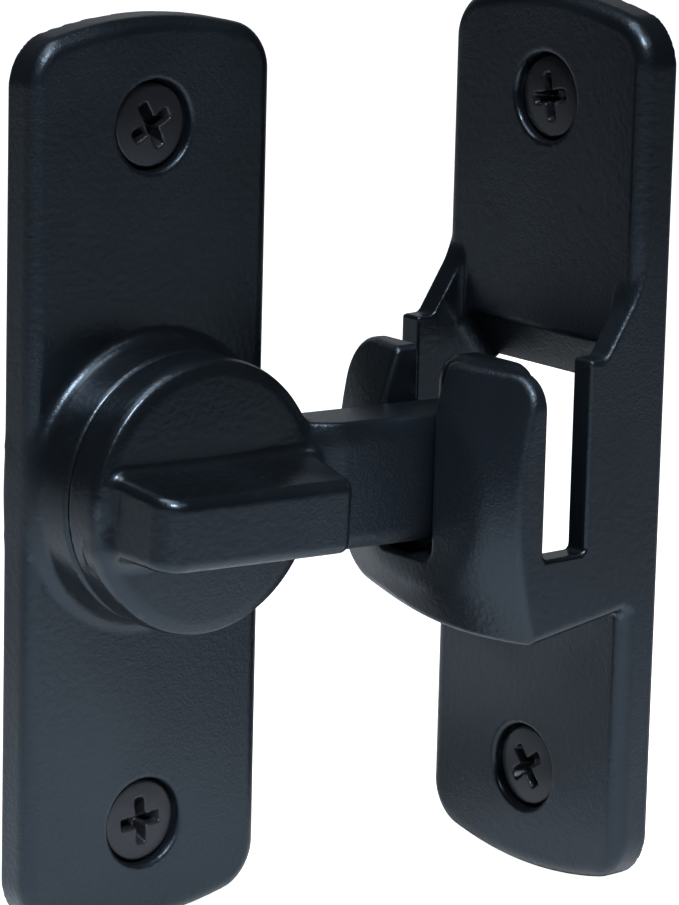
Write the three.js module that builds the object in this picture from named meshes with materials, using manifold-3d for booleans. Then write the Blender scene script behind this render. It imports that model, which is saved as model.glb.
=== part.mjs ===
// Surface-mounted flip bolt latch. A bolt plate on the door carries a thumb-turned bar with a T-shaped
// head, and a keeper on the wall at right angles to the door takes the bar in an open-topped fork.
//
// Millimetres, +Z up. The door face is the plane Y = 0 with the latch on its -Y side. The bar points
// along +X and turns about an axis along Y. Both plates are first drawn alike, standing off a plane:
// x runs across the plate, z runs up it and "proud" is the distance off the mounting plane (y = -proud).
import * as THREE from "three";
import { mergeVertices } from "three/addons/utils/BufferGeometryUtils.js";
import Module from "manifold-3d";

const wasm = await Module();
wasm.setup();

// ---------------------------------------------------------------- fits
const RUNNING_FIT = 0.1; // radial, turning parts
const LOOSE_FIT = 0.3; // radial or axial, parts that only pass each other
const SEAT_GAP = 0.15; // between parts that rest on each other

// ---------------------------------------------------------------- plates, same outline for both
const PLATE_WIDTH = 30;
const PLATE_HEIGHT = 94;
const PLATE_THICKNESS = 4.3;
const PLATE_END_RISE = 2.5; // height of the arched ends
const PLATE_CORNER_RADIUS = 3.8;
const PLATE_EDGE_RADIUS = 1.75; // rounding of the front edge
const SCREW_END = 11; // from each end of the plate to its screw
const SCREW_SPACING = PLATE_HEIGHT - 2 * SCREW_END;

// ---------------------------------------------------------------- mounting screws
const SCREW_HEAD_RADIUS = 4.3;
const SCREW_HEAD_RIM = 0.35; // straight rim above the cone
const SCREW_HEAD_CONE = 2.2;
const SCREW_HEAD_DOME = 0.35;
const SCREW_SHANK_RADIUS = 1.9;
const SCREW_REACH = 12; // behind the mounting plane
const SCREW_POINT = 4;
const SCREW_SINK = 0.75; // head rim below the plate's face
const CROSS_SPAN = 5;
const CROSS_ARM = 1.15;
const CROSS_DEPTH = 1.9;
const RECESS_LIP = 0.35; // chamfer round the screw recess

// ---------------------------------------------------------------- boss and pivot
const BOSS_RADIUS = 14.1;
const BOSS_PROUD = 9.3;
const BOSS_DRAFT = 0.4;
const BOSS_FILLET = 1.7;
const BOSS_EDGE = 0.5;
const SPINDLE_RADIUS = 5;
const POCKET_RADIUS = 9; // hollow behind the boss for the retaining stack
const POCKET_DEPTH = 4.6;
const FRICTION_WASHER_OUTER = 7.4;
const FRICTION_WASHER_THICKNESS = 1;
const WAVE_WASHER_OUTER = 7.9;
const WAVE_WASHER_THICKNESS = 0.4;
const WAVE_HEIGHT = 0.5;
const RETAINER_RADIUS = 8;
const RETAINER_THICKNESS = 1;
const PIVOT_SCREW_RADIUS = 1.9;
const PIVOT_SCREW_HEAD_RADIUS = 3.7;
const PIVOT_SCREW_HEAD_HEIGHT = 1.5;
const PIVOT_SCREW_LENGTH = 8.5;

// ---------------------------------------------------------------- detent and stop
const BALL_RADIUS = 1.4;
const BALL_CIRCLE = 11.6; // radius at which the detent balls sit
const BALL_REACH = 0.2; // how far a ball stands into the knob's back
const BALL_WELL_DEPTH = 4.4;
const GROOVE_DEPTH = 0.4;
const SPRING_WIRE_RADIUS = 0.19;
const SPRING_TURNS = 3.5;
const STOP_PIN_RADIUS = 0.85;
const STOP_PIN_CIRCLE = 9.25;
const STOP_PIN_LENGTH = 4.6;
const STOP_PIN_REACH = 0.9; // into the knob's arc slot
const STOP_PIN_ANGLE = 35; // degrees from +X towards +Z
const SWING = 180; // degrees the bolt can turn
const STOP_PLAY = 3; // degrees at each end of the arc slot

// ---------------------------------------------------------------- flip bolt
const KNOB_RADIUS = 14.1;
const KNOB_PROUD = 14.9;
const KNOB_CHAMFER = 0.9;
const GRIP_PROUD = 23;
const GRIP_LEFT = 12;
const GRIP_RIGHT = 11.9;
const GRIP_HEIGHT = 7.3; // at its front face
const GRIP_ROOT_HEIGHT = 8.5; // at the knob's face
const GRIP_EDGE = 0.8;
const GRIP_NOSE = 2; // length of the curved top of the free end
const GRIP_SHOULDER = 1.8; // rounding towards the bar
const BAR_HEIGHT = 13.4;
const BAR_THICKNESS = 6.8;
const BAR_BACK_PROUD = 9.6;
const BAR_EDGE_HIGH = 1.4; // front edge bevel, down the front face
const BAR_EDGE_DEEP = 0.6; // front edge bevel, across the top
const HEAD_THICKNESS = 5;
const HEAD_HEIGHT = 22.4;
const HEAD_WIDTH = 11.4;
const HEAD_CORNER = 2.6;
const HEAD_EDGE = 0.7;
const REST_DROOP = 2; // degrees the bar hangs below level when it lies in the fork

// How far the bar has dropped at some distance from the pivot axis, when it lies in the fork.
function restDrop(reach) {
  return reach * Math.sin(THREE.MathUtils.degToRad(REST_DROOP));
}

// ---------------------------------------------------------------- keeper
const KEEPER_REACH = 47.5; // pivot axis to the wall plane
const KEEPER_SET_BACK = 1.1; // keeper edge behind the door face
const KEEPER_RISE = 0.9; // keeper centre above the pivot axis
const CHEEK_PROUD = 10.2;
const CHEEK_THICKNESS = 2.9;
const CHEEK_TOP = 11.4;
const LEDGE_DEPTH = 2.1;
const RAMP_TOP = 17.2;
const SILL_HEIGHT = -8.65; // top of the side walls beside the head
const FORK_PROUD = 20.6;
const FORK_THICKNESS = 4.7;
const FORK_TOP = 10.4;
const FORK_EDGE = 1;
const FORK_INNER_CORNER = 5; // rounding of the corners by the door
const FORK_OUTER_CORNER = 3.6;
const FORK_FOOT_CORNER = 2.5; // rounding of the foot away from the door
const SLOT_CLEARANCE = 0.7; // each side of the bar
const SLOT_FLOOR_PLAY = 1.4; // under the bar at rest
const FORK_REACH = KEEPER_REACH - FORK_PROUD + FORK_THICKNESS; // pivot axis to the back of the fork
const SLOT_FLOOR = -(BAR_HEIGHT / 2 + KEEPER_RISE + restDrop(FORK_REACH) + SLOT_FLOOR_PLAY);
const SLOT_LIP = 1.2; // rounding of the slot's lips and floor
const HEAD_PLAY = 2.9; // between the fork's wall and the head behind it
const HEAD_REACH = FORK_REACH + HEAD_PLAY; // pivot axis to the near face of the head
const BOWL_FLOOR_PLAY = 0.62; // under the head at rest
const HEAD_FOOT = HEAD_HEIGHT / 2 + restDrop(HEAD_REACH + HEAD_THICKNESS);
const BOWL_FLOOR = -(HEAD_FOOT + KEEPER_RISE + BOWL_FLOOR_PLAY);
const BOWL_BACK_WALL = 1.3; // thickness of the bowl's floor at the plate
const BOWL_FRONT_WALL = 3.6; // and at the fork
const BOWL_FOOT = BOWL_FLOOR - BOWL_BACK_WALL;
const FORK_FOOT = BOWL_FLOOR - BOWL_FRONT_WALL;
const WINDOW_TOP_FRONT = 11.9;
const WINDOW_TOP_BACK = 6.3;

// ---------------------------------------------------------------- smoothness
const ROUND = 48;
const SMALL_ROUND = 20;
const SCREW_ROUND = 24;
const CURVE = 7; // segments in each arc of an outline
const EDGE_STEPS = 3; // segments across a rounded edge

// ---------------------------------------------------------------- materials
function blackCoat() {
  return new THREE.MeshStandardMaterial({ color: 0x1a1f27, roughness: 0.42, metalness: 0.35 });
}

function blackScrew() {
  return new THREE.MeshStandardMaterial({ color: 0x15181d, roughness: 0.34, metalness: 0.6 });
}

function bareSteel() {
  return new THREE.MeshStandardMaterial({ color: 0xa8abad, roughness: 0.3, metalness: 1 });
}

function nylon() {
  return new THREE.MeshStandardMaterial({ color: 0xdedbd0, roughness: 0.6, metalness: 0 });
}

// ---------------------------------------------------------------- solids
function solid(geometry) {
  const bare = geometry.clone();
  bare.deleteAttribute("normal");
  bare.deleteAttribute("uv");
  const welded = mergeVertices(bare, 1e-4);
  const vertProperties = new Float32Array(welded.attributes.position.array);
  const triVerts = new Uint32Array(welded.index.array);
  return new wasm.Manifold(new wasm.Mesh({ numProp: 3, vertProperties, triVerts }));
}

function named(name, body, material) {
  const mesh = body.getMesh();
  const geometry = new THREE.BufferGeometry();
  geometry.setAttribute("position", new THREE.BufferAttribute(new Float32Array(mesh.vertProperties), 3));
  geometry.setIndex(new THREE.BufferAttribute(new Uint32Array(mesh.triVerts), 1));
  geometry.computeVertexNormals();
  const part = new THREE.Mesh(geometry, material);
  part.name = name;
  return part;
}

function union(bodies) {
  return bodies.reduce((whole, body) => whole.add(body));
}

function cut(body, tools) {
  return tools.reduce((rest, tool) => rest.subtract(tool), body);
}

// A box from its low and high corners, given as x, proud and z.
function block([x0, p0, z0], [x1, p1, z1]) {
  const box = new THREE.BoxGeometry(x1 - x0, p1 - p0, z1 - z0);
  box.translate((x0 + x1) / 2, -(p0 + p1) / 2, (z0 + z1) / 2);
  return solid(box);
}

// A shape drawn in x and z, standing from one proud height to another. A front edge radius rounds both
// ends of the extrusion, so a flat back is trimmed afterwards.
function standing(shape, from, to, edge = 0) {
  const geometry = new THREE.ExtrudeGeometry(shape, {
    depth: to - from - 2 * edge,
    bevelEnabled: edge > 0,
    bevelThickness: edge,
    bevelSize: edge,
    bevelOffset: -edge,
    bevelSegments: EDGE_STEPS,
    curveSegments: CURVE,
  });
  geometry.translate(0, 0, from + edge);
  geometry.rotateX(Math.PI / 2);
  return solid(geometry);
}

// A profile drawn in proud and z, running across x.
function across(profile, from, to) {
  const shape = new THREE.Shape(profile.map(([proud, z]) => new THREE.Vector2(-proud, z)));
  const geometry = new THREE.ExtrudeGeometry(shape, { depth: to - from, bevelEnabled: false });
  geometry.translate(0, 0, from);
  geometry.applyMatrix4(
    new THREE.Matrix4().makeBasis(
      new THREE.Vector3(0, 1, 0),
      new THREE.Vector3(0, 0, 1),
      new THREE.Vector3(1, 0, 0),
    ),
  );
  return solid(geometry);
}

// A profile of radius and proud height turned about an axis that stands off the mounting plane.
function turned(profile, x = 0, z = 0, segments = ROUND) {
  const points = profile.map(([radius, proud]) => new THREE.Vector2(radius, proud));
  const geometry = new THREE.LatheGeometry(points, segments);
  geometry.rotateX(Math.PI);
  geometry.translate(x, 0, z);
  return solid(geometry);
}

function cylinder(radius, from, to, x = 0, z = 0, segments = ROUND) {
  return turned([[0, from], [radius, from], [radius, to], [0, to]], x, z, segments);
}

function ring(inner, outer, from, to, x = 0, z = 0, segments = ROUND) {
  return turned([[inner, from], [outer, from], [outer, to], [inner, to], [inner, from]], x, z, segments);
}

function onCircle(radius, degrees) {
  const angle = THREE.MathUtils.degToRad(degrees);
  return [radius * Math.cos(angle), radius * Math.sin(angle)];
}

// ---------------------------------------------------------------- plate outline
// Half width at the sides, an arched top and bottom, rounded corners.
function plateShape(width, height, rise, corner) {
  const half = width / 2;
  const archRadius = (half * half + rise * rise) / (2 * rise);
  const archCentre = height / 2 - archRadius;
  const cornerX = half - corner;
  const cornerZ = archCentre + Math.sqrt((archRadius - corner) ** 2 - cornerX ** 2);
  const meet = Math.atan2(cornerZ - archCentre, cornerX);
  const shape = new THREE.Shape();
  shape.moveTo(half, -cornerZ);
  shape.lineTo(half, cornerZ);
  shape.absarc(cornerX, cornerZ, corner, 0, meet, false);
  shape.absarc(0, archCentre, archRadius, meet, Math.PI - meet, false);
  shape.absarc(-cornerX, cornerZ, corner, Math.PI - meet, Math.PI, false);
  shape.lineTo(-half, -cornerZ);
  shape.absarc(-cornerX, -cornerZ, corner, Math.PI, Math.PI + meet, false);
  shape.absarc(0, -archCentre, archRadius, Math.PI + meet, 2 * Math.PI - meet, false);
  shape.absarc(cornerX, -cornerZ, corner, -meet, 0, false);
  return shape;
}

function plateBlank() {
  const shape = plateShape(PLATE_WIDTH, PLATE_HEIGHT, PLATE_END_RISE, PLATE_CORNER_RADIUS);
  const rounded = standing(shape, -2 * PLATE_EDGE_RADIUS, PLATE_THICKNESS, PLATE_EDGE_RADIUS);
  const front = block(
    [-PLATE_WIDTH, 0, -PLATE_HEIGHT],
    [PLATE_WIDTH, 2 * PLATE_THICKNESS, PLATE_HEIGHT],
  );
  return rounded.intersect(front);
}

const HEAD_RIM_PROUD = PLATE_THICKNESS - SCREW_SINK;
const HEAD_CONE_FOOT = HEAD_RIM_PROUD - SCREW_HEAD_RIM - SCREW_HEAD_CONE;

// The hole for one mounting screw: lip chamfer, well for the head, cone seat and clearance hole.
function screwHole(z) {
  const well = SCREW_HEAD_RADIUS + LOOSE_FIT;
  const hole = SCREW_SHANK_RADIUS + LOOSE_FIT;
  const face = PLATE_THICKNESS;
  const seat = HEAD_RIM_PROUD - SCREW_HEAD_RIM - LOOSE_FIT;
  return turned(
    [
      [0, -1],
      [hole, -1],
      [hole, HEAD_CONE_FOOT - LOOSE_FIT],
      [well, seat],
      [well, face - RECESS_LIP],
      [well + RECESS_LIP, face],
      [well + RECESS_LIP + 1, face + 1],
      [0, face + 1],
    ],
    0,
    z,
    SCREW_ROUND,
  );
}

function screwPlaces() {
  return [SCREW_SPACING / 2, -SCREW_SPACING / 2];
}

function crossRecess(face, degrees) {
  const arms = [0, 90].map((turn) => {
    const arm = new THREE.BoxGeometry(CROSS_SPAN, CROSS_DEPTH * 2, CROSS_ARM);
    arm.rotateY(THREE.MathUtils.degToRad(turn + degrees));
    arm.translate(0, -face, 0);
    return solid(arm);
  });
  return union(arms);
}

function mountingScrew(degrees) {
  const rim = HEAD_RIM_PROUD;
  const dome = [];
  for (let step = 0; step <= 3; step += 1) {
    const share = step / 3;
    dome.push([SCREW_HEAD_RADIUS * (1 - share), rim + SCREW_HEAD_DOME * (1 - (1 - share) ** 2)]);
  }
  const body = turned(
    [
      [0, -SCREW_REACH],
      [SCREW_SHANK_RADIUS * 0.12, -SCREW_REACH],
      [SCREW_SHANK_RADIUS, -SCREW_REACH + SCREW_POINT],
      [SCREW_SHANK_RADIUS, HEAD_CONE_FOOT],
      [SCREW_HEAD_RADIUS, rim - SCREW_HEAD_RIM],
      ...dome,
    ],
    0,
    0,
    SCREW_ROUND,
  );
  return body.subtract(crossRecess(rim + SCREW_HEAD_DOME, degrees));
}

// ---------------------------------------------------------------- bolt plate
const FRICTION_SEAT = BOSS_PROUD - FRICTION_WASHER_THICKNESS;

function bossProfile() {
  const foot = BOSS_RADIUS + BOSS_DRAFT;
  const profile = [[0, PLATE_THICKNESS - 1], [foot + BOSS_FILLET, PLATE_THICKNESS - 1]];
  for (let step = 0; step <= 4; step += 1) {
    const angle = (Math.PI / 2) * (step / 4);
    profile.push([
      foot + BOSS_FILLET * (1 - Math.sin(angle)),
      PLATE_THICKNESS + BOSS_FILLET * (1 - Math.cos(angle)),
    ]);
  }
  for (let step = 0; step <= 2; step += 1) {
    const angle = (Math.PI / 2) * (step / 2);
    profile.push([
      BOSS_RADIUS - BOSS_EDGE * (1 - Math.cos(angle)),
      BOSS_PROUD - BOSS_EDGE * (1 - Math.sin(angle)),
    ]);
  }
  profile.push([0, BOSS_PROUD]);
  return profile;
}

function ballWell([x, z]) {
  const floor = BOSS_PROUD - BALL_WELL_DEPTH;
  return cylinder(BALL_RADIUS + RUNNING_FIT, floor, BOSS_PROUD + 1, x, z, SMALL_ROUND);
}

function boltPlate() {
  const shape = plateShape(PLATE_WIDTH, PLATE_HEIGHT, PLATE_END_RISE, PLATE_CORNER_RADIUS);
  const withinPlate = standing(shape, 0, BOSS_PROUD + 1);
  const boss = turned(bossProfile()).intersect(withinPlate);
  const [pinX, pinZ] = onCircle(STOP_PIN_CIRCLE, STOP_PIN_ANGLE);
  const pinFoot = BOSS_PROUD + STOP_PIN_REACH - STOP_PIN_LENGTH - SEAT_GAP;
  return cut(plateBlank().add(boss), [
    ...screwPlaces().map(screwHole),
    cylinder(POCKET_RADIUS, -1, POCKET_DEPTH),
    cylinder(SPINDLE_RADIUS + RUNNING_FIT, -1, BOSS_PROUD + 1),
    cylinder(FRICTION_WASHER_OUTER + RUNNING_FIT, FRICTION_SEAT - SEAT_GAP, BOSS_PROUD + 1),
    ...ballPlaces().map(ballWell),
    cylinder(STOP_PIN_RADIUS + RUNNING_FIT, pinFoot, BOSS_PROUD + 1, pinX, pinZ, SMALL_ROUND),
  ]);
}

// ---------------------------------------------------------------- detent parts
function ballPlaces() {
  return [90, -90].map((degrees) => onCircle(BALL_CIRCLE, degrees));
}

const KNOB_BACK = BOSS_PROUD + LOOSE_FIT;
const BALL_CENTRE = KNOB_BACK + BALL_REACH - BALL_RADIUS;

function ball(x, z, radius) {
  const geometry = new THREE.SphereGeometry(radius, 16, 10);
  geometry.translate(x, -BALL_CENTRE, z);
  return solid(geometry);
}

class CoilCurve extends THREE.Curve {
  constructor(radius, rise, turns) {
    super();
    this.radius = radius;
    this.rise = rise;
    this.turns = turns;
  }

  getPoint(share, target = new THREE.Vector3()) {
    const angle = 2 * Math.PI * this.turns * share;
    return target.set(this.radius * Math.cos(angle), -this.rise * share, this.radius * Math.sin(angle));
  }
}

function detentSpring(x, z) {
  const foot = BOSS_PROUD - BALL_WELL_DEPTH + SPRING_WIRE_RADIUS + SEAT_GAP;
  const top = BALL_CENTRE - BALL_RADIUS - SPRING_WIRE_RADIUS - SEAT_GAP;
  const coil = new CoilCurve(BALL_RADIUS - SPRING_WIRE_RADIUS - RUNNING_FIT, top - foot, SPRING_TURNS);
  const wire = new THREE.Shape();
  wire.absarc(0, 0, SPRING_WIRE_RADIUS, 0, 2 * Math.PI, false);
  const geometry = new THREE.ExtrudeGeometry(wire, { steps: 42, curveSegments: 3, extrudePath: coil });
  geometry.translate(x, -foot, z);
  return solid(geometry);
}

function stopPin() {
  const [x, z] = onCircle(STOP_PIN_CIRCLE, STOP_PIN_ANGLE);
  const top = BOSS_PROUD + STOP_PIN_REACH;
  return cylinder(STOP_PIN_RADIUS, top - STOP_PIN_LENGTH, top, x, z, SMALL_ROUND);
}

// ---------------------------------------------------------------- retaining stack behind the boss
const WAVE_TOP = POCKET_DEPTH - SEAT_GAP;
const WAVE_FOOT = WAVE_TOP - WAVE_WASHER_THICKNESS - WAVE_HEIGHT;
const RETAINER_TOP = WAVE_FOOT - SEAT_GAP;
const RETAINER_FOOT = RETAINER_TOP - RETAINER_THICKNESS;
const SPINDLE_END = RETAINER_TOP + SEAT_GAP;

function frictionWasher() {
  return ring(
    SPINDLE_RADIUS + LOOSE_FIT,
    FRICTION_WASHER_OUTER,
    FRICTION_SEAT,
    FRICTION_SEAT + FRICTION_WASHER_THICKNESS,
  );
}

// A flat ring bent into three waves.
function waveWasher() {
  const inner = SPINDLE_RADIUS + LOOSE_FIT;
  const low = WAVE_TOP - WAVE_WASHER_THICKNESS - WAVE_HEIGHT / 2;
  const geometry = new THREE.LatheGeometry(
    [
      [inner, low],
      [WAVE_WASHER_OUTER, low],
      [WAVE_WASHER_OUTER, low + WAVE_WASHER_THICKNESS],
      [inner, low + WAVE_WASHER_THICKNESS],
      [inner, low],
    ].map(([radius, proud]) => new THREE.Vector2(radius, proud)),
    ROUND,
  );
  const places = geometry.attributes.position;
  for (let index = 0; index < places.count; index += 1) {
    const angle = Math.atan2(places.getZ(index), places.getX(index));
    places.setY(index, places.getY(index) + (WAVE_HEIGHT / 2) * Math.cos(3 * angle));
  }
  geometry.rotateX(Math.PI);
  return solid(geometry);
}

function retainingWasher() {
  return ring(PIVOT_SCREW_RADIUS + LOOSE_FIT, RETAINER_RADIUS, RETAINER_FOOT, RETAINER_TOP);
}

function pivotScrew() {
  const headTop = RETAINER_FOOT - SEAT_GAP;
  const headFoot = headTop - PIVOT_SCREW_HEAD_HEIGHT;
  const body = turned(
    [
      [0, headFoot],
      [PIVOT_SCREW_HEAD_RADIUS * 0.8, headFoot],
      [PIVOT_SCREW_HEAD_RADIUS, headFoot + PIVOT_SCREW_HEAD_HEIGHT * 0.35],
      [PIVOT_SCREW_HEAD_RADIUS, headTop],
      [PIVOT_SCREW_RADIUS, headTop],
      [PIVOT_SCREW_RADIUS, headTop + PIVOT_SCREW_LENGTH],
      [0, headTop + PIVOT_SCREW_LENGTH],
    ],
    0,
    0,
    SCREW_ROUND,
  );
  const slot = new THREE.BoxGeometry(CROSS_SPAN, PIVOT_SCREW_HEAD_HEIGHT, CROSS_ARM);
  const crossed = slot.clone().rotateY(Math.PI / 2);
  const tools = [slot, crossed].map((arm) => solid(arm.translate(0, -headFoot, 0)));
  return cut(body, tools);
}

// ---------------------------------------------------------------- flip bolt
const BAR_FRONT_PROUD = BAR_BACK_PROUD + BAR_THICKNESS;
const BAR_CENTRE_PROUD = BAR_BACK_PROUD + BAR_THICKNESS / 2;

function knobBody() {
  return turned([
    [0, KNOB_BACK],
    [KNOB_RADIUS, KNOB_BACK],
    [KNOB_RADIUS, KNOB_PROUD - KNOB_CHAMFER],
    [KNOB_RADIUS - KNOB_CHAMFER * 0.3, KNOB_PROUD - KNOB_CHAMFER * 0.3],
    [KNOB_RADIUS - KNOB_CHAMFER, KNOB_PROUD],
    [0, KNOB_PROUD],
  ]);
}

// The thumb grip: a ridge across the knob, widest at its root, steep at the free end and sloping down
// to the bar at the other.
function thumbGrip() {
  const root = KNOB_PROUD - 1;
  const drop = (GRIP_ROOT_HEIGHT - GRIP_HEIGHT) / 2;
  const side = new THREE.Shape();
  side.moveTo(-GRIP_LEFT, root);
  side.lineTo(GRIP_RIGHT + 2, root);
  side.lineTo(GRIP_RIGHT, GRIP_PROUD - GRIP_SHOULDER);
  side.quadraticCurveTo(GRIP_RIGHT, GRIP_PROUD, GRIP_RIGHT - GRIP_SHOULDER, GRIP_PROUD);
  side.lineTo(-GRIP_LEFT + GRIP_NOSE, GRIP_PROUD);
  side.quadraticCurveTo(-GRIP_LEFT, GRIP_PROUD, -GRIP_LEFT, GRIP_PROUD - GRIP_NOSE);
  side.lineTo(-GRIP_LEFT, root);
  const geometry = new THREE.ExtrudeGeometry(side, {
    depth: GRIP_ROOT_HEIGHT - 2 * GRIP_EDGE,
    bevelEnabled: true,
    bevelThickness: GRIP_EDGE,
    bevelSize: GRIP_EDGE,
    bevelOffset: -GRIP_EDGE,
    bevelSegments: 2,
    curveSegments: 6,
  });
  geometry.translate(0, 0, -(GRIP_ROOT_HEIGHT / 2 - GRIP_EDGE));
  const places = geometry.attributes.position;
  for (let index = 0; index < places.count; index += 1) {
    const share = THREE.MathUtils.clamp((places.getY(index) - root) / (GRIP_PROUD - root), 0, 1);
    const half = GRIP_ROOT_HEIGHT / 2;
    places.setZ(index, (places.getZ(index) * (half - drop * share)) / half);
  }
  geometry.rotateX(Math.PI);
  return solid(geometry);
}

// The bar's section in proud and z: bevelled along its two front edges.
function barSection() {
  const half = BAR_HEIGHT / 2;
  return [
    [BAR_BACK_PROUD + 0.5, -half],
    [BAR_FRONT_PROUD - BAR_EDGE_DEEP, -half],
    [BAR_FRONT_PROUD, -half + BAR_EDGE_HIGH * 0.7],
    [BAR_FRONT_PROUD, half - BAR_EDGE_HIGH],
    [BAR_FRONT_PROUD - BAR_EDGE_DEEP, half],
    [BAR_BACK_PROUD + 0.5, half],
    [BAR_BACK_PROUD, half - 0.5],
    [BAR_BACK_PROUD, -half + 0.5],
  ];
}

function roundedRectangle(width, height, corner) {
  const [x, y] = [width / 2, height / 2];
  const shape = new THREE.Shape();
  shape.moveTo(x, -y + corner);
  shape.lineTo(x, y - corner);
  shape.absarc(x - corner, y - corner, corner, 0, Math.PI / 2, false);
  shape.absarc(-x + corner, y - corner, corner, Math.PI / 2, Math.PI, false);
  shape.absarc(-x + corner, -y + corner, corner, Math.PI, 1.5 * Math.PI, false);
  shape.absarc(x - corner, -y + corner, corner, 1.5 * Math.PI, 2 * Math.PI, false);
  return shape;
}

// The T head: a rounded slab across the end of the bar, thin along the bar.
function teeHead() {
  const shape = roundedRectangle(HEAD_WIDTH, HEAD_HEIGHT, HEAD_CORNER);
  const geometry = new THREE.ExtrudeGeometry(shape, {
    depth: HEAD_THICKNESS - 2 * HEAD_EDGE,
    bevelEnabled: true,
    bevelThickness: HEAD_EDGE,
    bevelSize: HEAD_EDGE,
    bevelOffset: -HEAD_EDGE,
    bevelSegments: 2,
    curveSegments: 6,
  });
  geometry.translate(0, 0, HEAD_REACH + HEAD_EDGE);
  geometry.applyMatrix4(
    new THREE.Matrix4().makeBasis(
      new THREE.Vector3(0, 1, 0),
      new THREE.Vector3(0, 0, 1),
      new THREE.Vector3(1, 0, 0),
    ),
  );
  geometry.translate(0, -BAR_CENTRE_PROUD, 0);
  return solid(geometry);
}

// An arc-shaped groove in the knob's back, on a circle about the axis, between two angles.
function arcGroove(circle, halfWidth, depth, fromDegrees, toDegrees) {
  const from = THREE.MathUtils.degToRad(fromDegrees);
  const to = THREE.MathUtils.degToRad(toDegrees);
  const shape = new THREE.Shape();
  shape.absarc(0, 0, circle + halfWidth, from, to, false);
  const [lastX, lastZ] = onCircle(circle, toDegrees);
  shape.absarc(lastX, lastZ, halfWidth, to, to + Math.PI, false);
  shape.absarc(0, 0, circle - halfWidth, to, from, true);
  const [firstX, firstZ] = onCircle(circle, fromDegrees);
  shape.absarc(firstX, firstZ, halfWidth, from + Math.PI, from + 2 * Math.PI);
  const geometry = new THREE.ExtrudeGeometry(shape, {
    depth: depth + 1,
    bevelEnabled: false,
    curveSegments: 20,
  });
  geometry.translate(0, 0, KNOB_BACK - 1);
  geometry.rotateX(Math.PI / 2);
  return solid(geometry);
}

function flipBolt() {
  const spindle = cylinder(SPINDLE_RADIUS, SPINDLE_END, KNOB_BACK + 1);
  const bar = across(barSection(), KNOB_RADIUS - 4, HEAD_REACH + HEAD_THICKNESS / 2);
  const ballHalf = Math.sqrt(BALL_RADIUS ** 2 - (BALL_RADIUS - BALL_REACH) ** 2) + LOOSE_FIT;
  const grooveFrom = KNOB_BACK - 1;
  const dimples = ballPlaces().map(([x, z]) => {
    const angle = THREE.MathUtils.radToDeg(Math.atan2(z, x)) + REST_DROOP;
    const [dimpleX, dimpleZ] = onCircle(BALL_CIRCLE, angle);
    return ball(dimpleX, dimpleZ, BALL_RADIUS + LOOSE_FIT);
  });
  const pin = STOP_PIN_ANGLE + REST_DROOP;
  const boreTop = RETAINER_FOOT + PIVOT_SCREW_LENGTH + 1;
  return cut(union([knobBody(), spindle, thumbGrip(), bar, teeHead()]), [
    cylinder(PIVOT_SCREW_RADIUS + LOOSE_FIT, -1, boreTop, 0, 0, SCREW_ROUND),
    ring(BALL_CIRCLE - ballHalf, BALL_CIRCLE + ballHalf, grooveFrom, KNOB_BACK + GROOVE_DEPTH),
    ...dimples,
    arcGroove(
      STOP_PIN_CIRCLE,
      STOP_PIN_RADIUS + LOOSE_FIT,
      STOP_PIN_REACH,
      pin - SWING - STOP_PLAY,
      pin + STOP_PLAY,
    ),
  ]);
}

// ---------------------------------------------------------------- keeper
const SLOT_CENTRE = BAR_CENTRE_PROUD - (PLATE_WIDTH / 2 - KEEPER_SET_BACK);
const SLOT_HALF = BAR_THICKNESS / 2 + SLOT_CLEARANCE;

// One quarter turn of a rounded corner, added to an outline. A negative radius bends it the other way.
function corner(shape, x, z, radius, fromDegrees) {
  const from = THREE.MathUtils.degToRad(fromDegrees);
  const turn = radius < 0 ? -Math.PI / 2 : Math.PI / 2;
  shape.absarc(x, z, Math.abs(radius), from, from + turn, radius < 0);
}

// Outline of the fork's front wall in x and z, with the slot open at the top.
function forkShape() {
  const half = PLATE_WIDTH / 2;
  const [left, right] = [SLOT_CENTRE - SLOT_HALF, SLOT_CENTRE + SLOT_HALF];
  const [inner, outer, foot] = [FORK_INNER_CORNER, FORK_OUTER_CORNER, FORK_FOOT_CORNER];
  const shape = new THREE.Shape();
  shape.moveTo(half, FORK_FOOT + foot);
  corner(shape, half - outer, FORK_TOP - outer, outer, 0);
  corner(shape, right + SLOT_LIP, FORK_TOP - SLOT_LIP, SLOT_LIP, 90);
  corner(shape, right - SLOT_LIP, SLOT_FLOOR + SLOT_LIP, -SLOT_LIP, 0);
  corner(shape, left + SLOT_LIP, SLOT_FLOOR + SLOT_LIP, -SLOT_LIP, -90);
  corner(shape, left - SLOT_LIP, FORK_TOP - SLOT_LIP, SLOT_LIP, 0);
  corner(shape, -half + inner, FORK_TOP - inner, inner, 90);
  corner(shape, -half + inner, FORK_FOOT + inner, inner, 180);
  corner(shape, half - foot, FORK_FOOT + foot, foot, 270);
  return shape;
}

// Side view of the cheeks and the bowl, in proud and z.
function housingProfile() {
  const root = PLATE_THICKNESS / 2;
  return [
    [root, RAMP_TOP + 1],
    [PLATE_THICKNESS, RAMP_TOP],
    [CHEEK_PROUD - LEDGE_DEPTH, CHEEK_TOP],
    [CHEEK_PROUD, CHEEK_TOP],
    [CHEEK_PROUD, SILL_HEIGHT],
    [FORK_PROUD - FORK_EDGE - 1, SILL_HEIGHT],
    [FORK_PROUD - FORK_EDGE - 1, (BOWL_FOOT + FORK_FOOT) / 2],
    [PLATE_THICKNESS, BOWL_FOOT],
    [root, BOWL_FOOT],
  ].reverse();
}

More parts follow.
